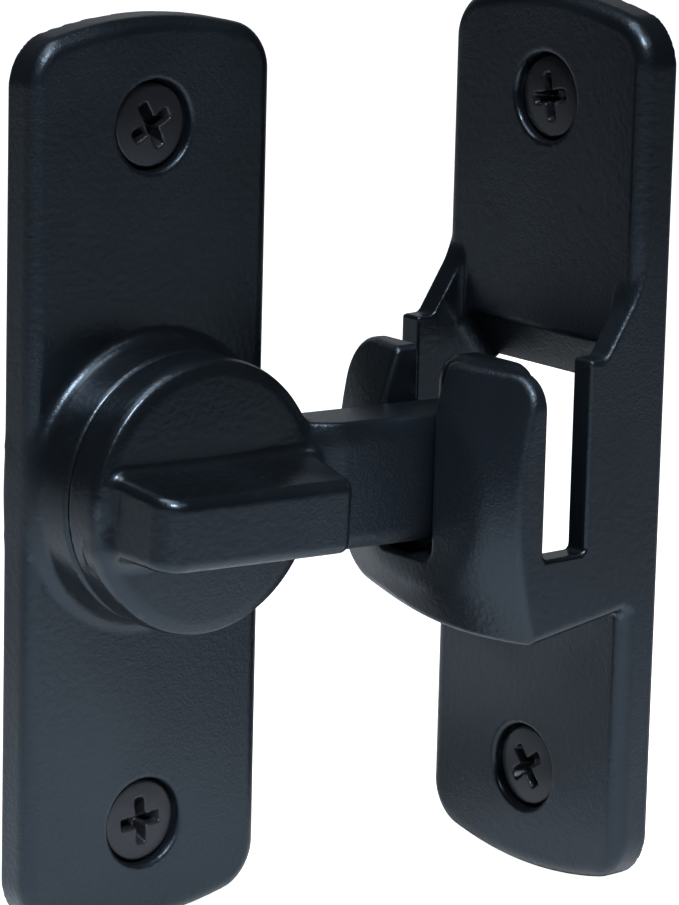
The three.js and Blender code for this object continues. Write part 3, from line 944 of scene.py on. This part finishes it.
@dataclass
class BoltSide:
    """The plate on the door, with the boss that the knob turns on, and its two screws.

    Attributes:
        plate: The plate.
        pivot: Sizes shared with the knob.
        boss: Radius of the boss at its lip.
        proud: Height of the boss's face.
        draft: How far the boss widens down to the plate.
        fillet: Fillet round the boss's foot.
        lip: Rounding of the boss's edge.
        pocket: Radius of the hollow behind the boss.
        pocket_depth: Depth of that hollow.
        washer: Radius of the friction washer's seat.
        washer_seat: Height of that seat.
        well_floor: Height of the floor of the ball wells.
        turns: Angles of the two screws' crosses, upper and lower.
    """

    plate: Plate = field(default_factory=Plate)
    pivot: Pivot = field(default_factory=Pivot)
    boss: float = 14.1
    proud: float = 9.3
    draft: float = 0.4
    fillet: float = 1.4
    lip: float = 0.6
    pocket: float = 9.0
    pocket_depth: float = 4.6
    washer: float = 7.5
    washer_seat: float = 8.15
    well_floor: float = 4.9
    turns: tuple[float, float] = (28.0, 4.0)

    def solid(self, x: Array, p: Array, z: Array) -> Array:
        """Distance to the bolt plate's casting.

        Args:
            x: Across the plate, in mm.
            p: Height off the mounting plane, in mm.
            z: Up the plate, in mm.

        Returns:
            Signed distance in mm, below zero inside.
        """
        out = np.hypot(x, z)
        tall = self.proud - self.plate.thickness
        flank = line(p, out, (self.proud, self.boss), (self.plate.thickness, self.boss + self.draft))
        boss = round_both(-flank, p - self.proud, self.lip)
        boss = np.maximum(boss, self.plate.thickness - tall - p)
        whole = round_either(self.plate.blank(x, p, z), boss, self.fillet)
        whole = round_both(whole, self.plate.outline(x, z), 0.35)
        whole = np.maximum(whole, -p)
        whole = self.plate.drilled(whole, x, p, z)
        pivot = self.pivot
        voids = [
            np.maximum(out - self.pocket, p - self.pocket_depth),
            out - pivot.spindle - pivot.fit,
            np.maximum(out - self.washer, self.washer_seat - p),
        ]
        for height in (pivot.ball_circle, -pivot.ball_circle):
            bore = np.hypot(x, z - height) - pivot.ball - pivot.fit
            voids.append(np.maximum(bore, self.well_floor - p))
        angle = math.radians(pivot.pin_angle)
        pin_x, pin_z = pivot.pin_circle * math.cos(angle), pivot.pin_circle * math.sin(angle)
        bore = np.hypot(x - pin_x, z - pin_z) - pivot.pin - pivot.fit
        voids.append(np.maximum(bore, self.well_floor + 0.55 - p))
        for void in voids:
            whole = round_without(whole, void, 0.12)
        return whole

    def build(self, shop: Paintshop, mould: Mould, fine: Mould, seat: Seat) -> None:
        """Makes the plate and its screws, and sets them on the door.

        Args:
            shop: Where finishes come from.
            mould: How finely the plate is skinned.
            fine: How finely the screws are skinned.
            seat: The plate's seat.
        """
        half, tall = self.plate.width / 2, self.plate.height / 2
        skin = mould.skin(self.solid, (-half, 0, -tall), (half, self.proud, tall))
        piece = dress(cast("bolt_casting", skin, seat), shop, Finish.COAT, "plates")
        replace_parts(piece, "bolt_plate")
        set_screws("bolt_plate", self.plate, self.turns, shop, fine, seat)


def set_screws(
    label: str, plate: Plate, turns: tuple[float, float], shop: Paintshop, fine: Mould, seat: Seat
) -> None:
    """Puts a plate's two screws in.

    Args:
        label: First part of the names of the screws' nodes.
        plate: The plate they hold.
        turns: Angles of their crosses, upper and lower.
        shop: Where finishes come from.
        fine: How finely they are skinned.
        seat: The plate's seat.
    """
    for end, height, turn in (("upper", plate.screws, turns[0]), ("lower", -plate.screws, turns[1])):
        node = f"{label}_screw_{end}"
        piece = MountingScrew().build(f"{node}_cut", fine, moved_up(seat, height), turn)
        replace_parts(dress(piece, shop, Finish.SCREW, "plates"), node)


@dataclass
class TurningBolt:
    """The knob, its thumb grip, the bar and the T-shaped head, all one casting.

    Attributes:
        pivot: Sizes shared with the boss.
        radius: Radius of the knob.
        back: Height of the knob's back.
        face: Height of the knob's face.
        face_edge: Chamfer of the knob's front edge, down its side and across its face.
        back_edge: Rounding of the knob's back edge.
        dome: How far the knob's face falls from its middle to its rim.
        grip: Lowest and highest reach of the grip across.
        grip_face: Height of the grip's face.
        grip_front: Half height of the grip at its face.
        grip_root: Half height of the grip at the knob.
        grip_swell: How much higher the root rises towards the bar.
        grip_drop: How far the grip's middle lies below the axis, at its root and at its face.
        grip_nose: Rounding of the grip's free end.
        grip_edge: Rounding of the grip's long edges.
        bar: Half height of the bar.
        bar_proud: Lowest and highest height of the bar.
        bar_edge: Bevel of the bar's front edges, down the face and across.
        bar_rise: Where the bar's front starts and stops rising out of the knob's face.
        head: Where the head starts and ends along the bar.
        head_half: Half height and half width of the head.
        head_corner: Rounding of the head's outline.
        head_edge: Rounding of the head's edges.
        spindle_end: Height of the spindle's end.
        bore: Radius and top of the bore for the pivot screw.
        droop: Degrees that the bar hangs below level.
    """

    pivot: Pivot = field(default_factory=Pivot)
    radius: float = 14.1
    back: float = 9.6
    face: float = 14.9
    face_edge: tuple[float, float] = (1.0, 1.2)
    back_edge: float = 0.3
    dome: float = 0.7
    grip: tuple[float, float] = (-12.3, 11.9)
    grip_face: float = 23.0
    grip_front: float = 3.7
    grip_root: float = 4.1
    grip_swell: float = 0.4
    grip_drop: tuple[float, float] = (0.7, 1.3)
    grip_nose: float = 2.8
    grip_edge: float = 1.1
    bar: float = 6.7
    bar_proud: tuple[float, float] = (9.6, 16.4)
    bar_edge: tuple[float, float] = (1.7, 0.6)
    bar_rise: tuple[float, float] = (9.5, 15.8)
    head: tuple[float, float] = (34.5, 39.5)
    head_half: tuple[float, float] = (11.2, 5.7)
    head_corner: float = 3.0
    head_edge: float = 1.6
    spindle_end: float = 3.55
    bore: tuple[float, float] = (2.2, 11.9)
    droop: float = 2.0

    def knob(self, x: Array, p: Array, z: Array) -> Array:
        """Distance to the knob's disc.

        Args:
            x: Across the plate, in mm.
            p: Height off the mounting plane, in mm.
            z: Up the plate, in mm.

        Returns:
            Signed distance in mm, below zero inside.
        """
        out = np.hypot(x, z)
        crown = p - self.face + self.dome * (out / self.radius) ** 2
        disc = round_both(out - self.radius, crown, 0.5)
        deep, wide = self.face_edge
        chamfer = line(p, out, (self.face - deep, self.radius), (self.face, self.radius - wide))
        disc = round_both(disc, chamfer, 0.8)
        return round_both(disc, self.back - p, self.back_edge)

    def thumb_grip(self, x: Array, p: Array, z: Array) -> Array:
        """Distance to the grip, steep and rounded at its free end and widest at its root.

        Args:
            x: Across the plate, in mm.
            p: Height off the mounting plane, in mm.
            z: Up the plate, in mm.

        Returns:
            Signed distance in mm, below zero inside.
        """
        left, right = self.grip
        free_end = line(x, p, (left, self.face), (left + 0.4, self.grip_face))
        root_end = line(x, p, (right - 0.3, self.grip_face), (right + 0.9, self.face))
        side = round_both(free_end, p - self.grip_face, self.grip_nose)
        side = round_both(side, root_end, 1.5)
        share = (p - self.face) / (self.grip_face - self.face)
        root = self.grip_root + self.grip_swell * ease(x, -8.0, right)
        half = root + (self.grip_front - root) * share
        root_drop, face_drop = self.grip_drop
        drop = root_drop + (face_drop - root_drop) * np.clip(share, 0, 1)
        tall = (np.abs(z + drop) - half) * 0.97
        return np.maximum(round_both(side, tall, self.grip_edge), self.face - 2 - p)

    def bar_and_head(self, x: Array, p: Array, z: Array) -> Array:
        """Distance to the bar and the head across its end.

        Args:
            x: Across the plate, in mm.
            p: Height off the mounting plane, in mm.
            z: Up the plate, in mm.

        Returns:
            Signed distance in mm, below zero inside.
        """
        low, high = self.bar_proud
        down, across = self.bar_edge
        dip = (high - self.face + self.dome + 0.1) * (1 - ease(x, *self.bar_rise))
        near = p + dip
        section = round_both(np.abs(z) - self.bar, near - high, 0.15)
        bevel = line(near, z, (high - across, self.bar), (high, self.bar - down))
        foot = line(near, z, (high, -self.bar + down * 0.75), (high - across * 1.4, -self.bar))
        section = round_both(round_both(section, bevel, 0.3), foot, 0.3)
        section = round_both(section, low - p, 0.4)
        bar = np.maximum(section, slab(x, 6.0, sum(self.head) / 2))
        middle = (low + high) / 2
        tall, wide = self.head_half
        outline = round_both(np.abs(z) - tall, np.abs(p - middle) - wide, self.head_corner)
        head = round_both(outline, slab(x, *self.head), self.head_edge)
        return round_either(bar, head, 0.6)

    def solid(self, x: Array, p: Array, z: Array) -> Array:
        """Distance to the whole turning bolt.

        Args:
            x: Across the plate, in mm.
            p: Height off the mounting plane, in mm.
            z: Up the plate, in mm.

        Returns:
            Signed distance in mm, below zero inside.
        """
        out = np.hypot(x, z)
        pivot = self.pivot
        whole = round_either(self.knob(x, p, z), self.bar_and_head(x, p, z), 0.9)
        fillet = 1.0 + 0.9 * ease(-z, 1.0, 5.0)
        whole = round_either(whole, self.thumb_grip(x, p, z), fillet)
        spindle = np.maximum(out - pivot.spindle, np.maximum(self.spindle_end - p, p - self.back - 1))
        whole = np.minimum(whole, spindle)
        radius, top = self.bore
        voids = [np.maximum(out - radius, p - top)]
        groove = slab(out, pivot.ball_circle - 1.3, pivot.ball_circle + 1.02)
        voids.append(np.maximum(groove, p - self.back - 0.4))
        for height in (pivot.ball_circle, -pivot.ball_circle):
            apart = np.hypot(np.hypot(x, z - height), p - self.back - 0.2 + pivot.ball)
            voids.append(apart - pivot.ball - pivot.loose)
        voids.append(self.stop_slot(x, p, z))
        for void in voids:
            whole = np.maximum(whole, -void)
        return whole

    def stop_slot(self, x: Array, p: Array, z: Array) -> Array:
        """Distance to the arc-shaped slot in the knob's back that the stop pin runs in.

        Args:
            x: Across the plate, in mm.
            p: Height off the mounting plane, in mm.
            z: Up the plate, in mm.

        Returns:
            Signed distance in mm, below zero inside.
        """
        pivot = self.pivot
        last = math.radians(pivot.pin_angle + self.droop + 3)
        angle = np.mod(last - np.arctan2(z, x), 2 * math.pi)
        within = slab(np.hypot(x, z), pivot.pin_circle - 1.15, pivot.pin_circle + 1.15)
        arc = np.where(angle < math.radians(186), within, 1.0)
        return np.maximum(arc, p - self.back - 0.9)

    def build(self, shop: Paintshop, mould: Mould, seat: Seat) -> None:
        """Makes the turning bolt and hangs it on its body.

        Args:
            shop: Where finishes come from.
            mould: How finely it is skinned.
            seat: The bolt plate's seat.
        """
        low = (-self.radius, self.spindle_end, -self.radius)
        high = (self.head[1], self.grip_face, self.radius)
        piece = cast("thumb_bolt", mould.skin(self.solid, low, high), drooped(seat, self.droop))
        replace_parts(dress(piece, shop, Finish.COAT, "bolt"), "flip_bolt")


@dataclass
class KeeperSide:
    """The keeper on the wall: a plate with two cheeks, a bowl and a fork that is open at the top.

    Attributes:
        plate: The plate.
        cheek: Height of the cheeks' front, and their thickness.
        ledge: Height up the plate of the cheeks' tops, and how deep those are.
        ramp: Height up the plate where the ramps reach its face.
        sill: Height up the plate of the walls beside the head.
        fork: Lowest and highest height of the fork's wall.
        fork_top: Top of the fork.
        fork_foot: Foot of the fork at its front.
        top_corners: Rounding of the fork's top corners, by the door and by the room.
        foot_corners: Rounding of the bowl's lower corners, by the door and by the room.
        slot: Middle, half width and floor of the slot.
        slot_edge: Rounding of the slot's lips and floor.
        bowl_foot: Foot of the bowl at the plate.
        bowl_floor: Floor of the space for the head.
        window: Top of the window at the plate's face and at its back.
        front_edge: Rounding of the fork's front edge, away from the door and at its foot by the door.
        front_middle: Centre and radius of the flat middle of the fork's front.
        front_slope: Slope of the cone round it.
        front_blend: Softness of the cone's inner rim.
        bowl_tilt: How much lower the bowl hangs away from the door.
        fillet: Fillet between the plate and what stands on it.
        turns: Angles of the two screws' crosses, upper and lower.
    """

    plate: Plate = field(default_factory=Plate)
    cheek: tuple[float, float] = (10.2, 2.9)
    ledge: tuple[float, float] = (11.4, 2.1)
    ramp: float = 17.2
    sill: float = -8.65
    fork: tuple[float, float] = (15.9, 21.2)
    fork_top: float = 10.4
    fork_foot: float = -17.1
    top_corners: tuple[float, float] = (5.0, 3.6)
    foot_corners: tuple[float, float] = (5.0, 1.2)
    slot: tuple[float, float, float] = (-0.9, 4.1, -10.1)
    slot_edge: float = 1.2
    bowl_foot: float = -14.6
    bowl_floor: float = -14.1
    window: tuple[float, float] = (11.9, 6.3)
    front_edge: tuple[float, float] = (0.6, 3.0)
    front_middle: tuple[float, float, float] = (0.8, -3.5, 9.9)
    front_slope: float = 0.42
    front_blend: float = 1.2
    bowl_tilt: float = 1.2
    fillet: float = 0.9
    turns: tuple[float, float] = (12.0, 38.0)

    def cheeks(self, x: Array, p: Array, z: Array) -> Array:
        """Distance to the cheeks: a ramp down to a ledge, then a straight front, between two sides.

        Args:
            x: Across the plate, in mm.
            p: Height off the mounting plane, in mm.
            z: Up the plate, in mm.

        Returns:
            Signed distance in mm, below zero inside.
        """
        face = self.plate.thickness
        top, deep = self.ledge
        front, _ = self.cheek
        ramp = -line(p, z, (front - deep, top), (face, self.ramp))
        crest = round_either(ramp, z - top, 0.4)
        side = round_both(crest, p - front, 0.35)
        return round_both(side, np.abs(x) - self.plate.width / 2, 0.5)

    def bowl(self, x: Array, p: Array, z: Array) -> Array:
        """Distance to the fork's wall and the bowl below it, before the slot and the hollow.

        Args:
            x: Across the plate, in mm.
            p: Height off the mounting plane, in mm.
            z: Up the plate, in mm.

        Returns:
            Signed distance in mm, below zero inside.
        """
        half = self.plate.width / 2
        back, front = self.fork
        by_door = x < 0
        top = round_both(np.abs(x) - half, z - self.fork_top, np.where(by_door, *self.top_corners))
        tilt = self.bowl_tilt * ease(x, -half, half)
        under = line(p, z + tilt, (self.plate.thickness, self.bowl_foot), (front, self.fork_foot))
        outline = round_both(top, -under, np.where(by_door, *self.foot_corners))
        face = p - front + self.sag(x, z)
        high, low = self.front_edge
        edge = high + (low - high) * ease(-x, -half + 6, half - 4) * ease(-z, 6.0, 16.0)
        body = round_both(outline, face, edge)
        wall = round_either(back - p, z - self.sill, 0.8)
        return round_both(body, wall, 0.4)

    def sag(self, x: Array, z: Array) -> Array:
        """How far the fork's front falls away outside its flat round middle, as a shallow cone.

        Args:
            x: Across the plate, in mm.
            z: Up the plate, in mm.

        Returns:
            Depth of the fall, in mm.
        """
        across, up, flat = self.front_middle
        beyond = np.hypot(x - across, z - up) - flat
        return self.front_slope * 0.5 * (beyond + np.hypot(beyond, self.front_blend))

    def space(self, x: Array, p: Array, z: Array) -> Array:
        """Distance to the space for the head between the cheeks, open at the top.

        Args:
            x: Across the plate, in mm.
            p: Height off the mounting plane, in mm.
            z: Up the plate, in mm.

        Returns:
            Signed distance in mm, below zero inside.
        """
        within = np.abs(x) - self.plate.width / 2 + self.cheek[1]
        floor = self.bowl_floor + (self.plate.thickness - p) * 0.05
        low = round_both(within, floor - z, 1.0)
        return np.maximum(low, p - self.fork[0])

    def window_void(self, x: Array, p: Array, z: Array) -> Array:
        """Distance to the window through the plate, whose top slants.

        Args:
            x: Across the plate, in mm.
            p: Height off the mounting plane, in mm.
            z: Up the plate, in mm.

        Returns:
            Signed distance in mm, below zero inside.
        """
        face = self.plate.thickness
        top_front, top_back = self.window
        lintel = line(p, z, (0, top_back), (face, top_front))
        return round_both(self.space(x, p, z), lintel, 2.0)

    def solid(self, x: Array, p: Array, z: Array) -> Array:
        """Distance to the keeper's casting.

        Args:
            x: Across the plate, in mm.
            p: Height off the mounting plane, in mm.
            z: Up the plate, in mm.

        Returns:
            Signed distance in mm, below zero inside.
        """
        cheeks = np.maximum(self.cheeks(x, p, z), self.bowl_foot + 2 - z)
        housing = round_either(cheeks, self.bowl(x, p, z), 0.6)
        housing = round_without(housing, self.space(x, p, z), 0.35)
        housing = np.maximum(housing, 1.0 - p)
        whole = round_either(self.plate.blank(x, p, z), housing, self.fillet)
        whole = np.maximum(whole, self.plate.outline(x, z))
        whole = self.plate.drilled(whole, x, p, z)
        whole = round_without(whole, self.window_void(x, p, z), 0.25)
        middle, wide, floor = self.slot
        slot = round_both(np.abs(x - middle) - wide, floor - z, self.slot_edge)
        slot = np.maximum(slot, 8.0 - p)
        whole = round_without(whole, slot, 0.8)
        return np.maximum(whole, -p)

    def build(self, shop: Paintshop, mould: Mould, fine: Mould, seat: Seat) -> None:
        """Makes the keeper and its screws, and sets them on the wall.

        Args:
            shop: Where finishes come from.
            mould: How finely the casting is skinned.
            fine: How finely the screws are skinned.
            seat: The plate's seat.
        """
        half, tall = self.plate.width / 2, self.plate.height / 2
        skin = mould.skin(self.solid, (-half, 0, -tall), (half, self.fork[1], tall))
        piece = dress(cast("keeper_casting", skin, seat), shop, Finish.COAT, "plates")
        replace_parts(piece, "keeper_plate")
        set_screws("keeper", self.plate, self.turns, shop, fine, seat)


@dataclass
class PivotStack:
    """The turned and stamped parts inside the pivot, which keep their solids and get their finishes.

    Attributes:
        finishes: Finish of each part, by its node.
    """

    finishes: dict[str, Finish] = field(
        default_factory=lambda: {
            "friction_washer": Finish.NYLON,
            "wave_washer": Finish.STEEL,
            "stop_pin": Finish.STEEL,
            "detent_ball_upper": Finish.STEEL,
            "detent_ball_lower": Finish.STEEL,
            "detent_spring_upper": Finish.STEEL,
            "detent_spring_lower": Finish.STEEL,
            "retaining_washer": Finish.STEEL,
            "pivot_screw": Finish.STEEL,
        }
    )

    def dress(self, nodes: dict[str, bpy.types.Object], shop: Paintshop) -> None:
        """Puts each part's finish in its material slot.

        Args:
            nodes: The frame's nodes by name.
            shop: Where finishes come from.
        """
        for name, which in self.finishes.items():
            for slot in nodes[name].material_slots:
                slot.material = shop.finish(which)
            log.info("%s: %s", name, which.value)


# ---------------------------------------------------------------- studio
@dataclass(frozen=True)
class Softbox:
    """One rectangular studio light.

    Attributes:
        place: Where it stands, in metres.
        size: Its width and height, in metres.
        power: Its power, in watts.
        tint: Its colour.
    """

    place: tuple[float, float, float]
    size: tuple[float, float]
    power: float
    tint: tuple[float, float, float] = (0.90, 0.95, 1.0)

    def hang(self, name: str, target: Vector) -> None:
        """Makes the light and points it at a target.

        Args:
            name: Name of the light.
            target: What it shines on.
        """
        light = bpy.data.lights.new(name, "AREA")
        light.shape = "RECTANGLE"
        light.size, light.size_y = self.size
        light.energy = self.power
        light.color = self.tint
        made = bpy.data.objects.new(name, light)
        made.location = self.place
        made.rotation_mode = "QUATERNION"
        made.rotation_quaternion = (Vector(self.place) - target).to_track_quat("Z", "Y")
        made.visible_camera = False
        bpy.context.scene.collection.objects.link(made)


@dataclass(frozen=True)
class KeyLamp:
    """A round lamp with a soft-edged beam, which lights the object and the floor close to it.

    Attributes:
        place: Where it stands, in metres.
        target: The point on the floor that it shines on, in metres.
        cone: Full angle of its beam, in degrees.
        radius: Radius of its face, in metres.
        power: Its power, in watts.
        tint: Its colour.
    """

    place: tuple[float, float, float] = (-0.30, -0.46, 0.58)
    target: tuple[float, float, float] = (-0.035, -0.05, -0.048)
    cone: float = 21.0
    radius: float = 0.11
    power: float = 52.0
    tint: tuple[float, float, float] = (0.88, 0.94, 1.0)

    def hang(self) -> None:
        """Makes the lamp and points it at its target."""
        light = bpy.data.lights.new("key", "SPOT")
        light.spot_size = math.radians(self.cone)
        light.spot_blend = 1.0
        light.shadow_soft_size = self.radius
        light.energy = self.power
        light.color = self.tint
        made = bpy.data.objects.new("key", light)
        made.location = self.place
        made.rotation_mode = "QUATERNION"
        made.rotation_quaternion = (Vector(self.place) - Vector(self.target)).to_track_quat("Z", "Y")
        bpy.context.scene.collection.objects.link(made)


@dataclass
class Studio:
    """Camera, floor, surroundings and lights.

    Attributes:
        eye: Where the camera stands, in metres.
        yaw: Degrees that it looks to the right of +Y.
        pitch: Degrees that it looks down.
        roll: Degrees that it leans.
        lens: Focal length for a 36 mm sensor on the long side.
        floor_size: Width of the floor, in metres.
        surround: Brightness of the surroundings.
        backdrop: How much brighter the floor and the surroundings are where they are seen directly.
        lights: The softboxes by name.
        key: The lamp in front, on the left.
    """

    eye: tuple[float, float, float] = (-0.30091, -0.36034, 0.10716)
    yaw: float = 39.779
    pitch: float = 12.816
    roll: float = 1.443
    lens: float = 185.91
    floor_size: float = 12.0
    surround: float = 0.03
    backdrop: float = 1.0
    lights: dict[str, Softbox] = field(
        default_factory=lambda: {
            "overhead": Softbox((-0.16, -0.02, 0.65), (0.42, 0.36), 2.6),
            "front": Softbox((-0.05, -0.45, 0.62), (0.60, 0.22), 0.8),
            "behind": Softbox((0.50, 0.80, 0.30), (1.2, 0.40), 0.5),
        }
    )
    key: KeyLamp = KeyLamp()

    def camera(self) -> None:
        """Makes the camera and makes it the scene's."""
        yaw, pitch, roll = (math.radians(a) for a in (self.yaw, self.pitch, self.roll))
        ahead = Vector(
            (math.sin(yaw) * math.cos(pitch), math.cos(yaw) * math.cos(pitch), -math.sin(pitch))
        )
        level = Vector((math.cos(yaw), -math.sin(yaw), 0))
        upright = level.cross(ahead)
        right = level * math.cos(roll) + upright * math.sin(roll)
        up = upright * math.cos(roll) - level * math.sin(roll)
        data = bpy.data.cameras.new("camera")
        data.lens, data.sensor_width = self.lens, 36.0
        data.clip_start, data.clip_end = 0.01, 50.0
        made = bpy.data.objects.new("camera", data)
        made.matrix_world = Matrix.Translation(self.eye) @ Matrix((right, up, -ahead)).transposed().to_4x4()
        bpy.context.scene.collection.objects.link(made)
        bpy.context.scene.camera = made

    def floor(self, height: float) -> None:
        """Lays the floor.

        Args:
            height: Height of its surface, in metres.
        """
        half = self.floor_size / 2
        corners = [(-half, -half, height), (half, -half, height), (half, half, height), (-half, half, height)]
        mesh = bpy.data.meshes.new("floor")
        mesh.from_pydata(corners, [], [(0, 1, 2, 3)])
        made = bpy.data.objects.new("floor", mesh)
        bpy.context.scene.collection.objects.link(made)
        material = bpy.data.materials.new("pale_floor")
        material.use_nodes = True
        bench = Bench(material.node_tree)
        shader = material.node_tree.nodes["Principled BSDF"]
        place = bench.node("TexCoord").outputs["Object"]
        cloud = bench.node("TexNoise", {"Vector": place, "Scale": 3.0, "Detail": 2.0}).outputs["Fac"]
        bench.tree.links.new(bench.span(cloud, 0.0, 1.0, 0.75, 0.85), shader.inputs["Roughness"])
        shader.inputs["Base Color"].default_value = (0.92, 0.92, 0.92, 1)
        seen = bench.node("LightPath").outputs["Is Camera Ray"]
        shader.inputs["Emission Color"].default_value = (1, 1, 1, 1)
        bench.tree.links.new(bench.math("MULTIPLY", seen, self.backdrop), shader.inputs["Emission Strength"])
        mesh.materials.append(material)
        made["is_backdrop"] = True

    def sky(self) -> None:
        """Sets the even surroundings, and a plain rendering of tones."""
        world = bpy.data.worlds.new("surround")
        world.use_nodes = True
        bench = Bench(world.node_tree)
        shade = world.node_tree.nodes["Background"]
        seen = bench.node("LightPath").outputs["Is Camera Ray"]
        shade.inputs["Color"].default_value = (0.95, 0.97, 1.0, 1)
        strength = bench.math("MULTIPLY_ADD", seen, self.backdrop, self.surround)
        bench.tree.links.new(strength, shade.inputs["Strength"])
        scene = bpy.context.scene
        scene.world = world
        scene.view_settings.view_transform = "Standard"

    def build(self, floor_height: float) -> None:
        """Sets up the whole studio over a floor at a height.

        Args:
            floor_height: Height of the floor, in metres.
        """
        self.camera()
        self.floor(floor_height)
        self.sky()
        self.key.hang()
        for name, light in self.lights.items():
            light.hang(name, Vector((0, 0, 0)))


def main() -> None:
    """Builds the latch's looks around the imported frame."""
    logging.basicConfig(level=logging.INFO, format="%(name)s %(message)s")
    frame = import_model()
    cad_low, cad_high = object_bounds()
    mould, fine = ((Mould(0.36), Mould(0.22)))

    low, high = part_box("bolt_plate")
    door = Seat(
        Vector(((low.x + high.x) / 2, high.y, (low.z + high.z) / 2)),
        Vector((1, 0, 0)),
        Vector((0, -1, 0)),
        Vector((0, 0, 1)),
    )
    low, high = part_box("keeper_plate")
    wall = Seat(
        Vector((high.x, (low.y + high.y) / 2, (low.z + high.z) / 2)),
        Vector((0, -1, 0)),
        Vector((-1, 0, 0)),
        Vector((0, 0, 1)),
    )
    shop = Paintshop()
    BoltSide().build(shop, mould, fine, door)
    TurningBolt().build(shop, mould, door)
    KeeperSide().build(shop, mould, fine, wall)
    PivotStack().dress(frame["nodes"], shop)
    Studio().build(cad_low.z - 0.0005)


if __name__ == "__main__":
    main()
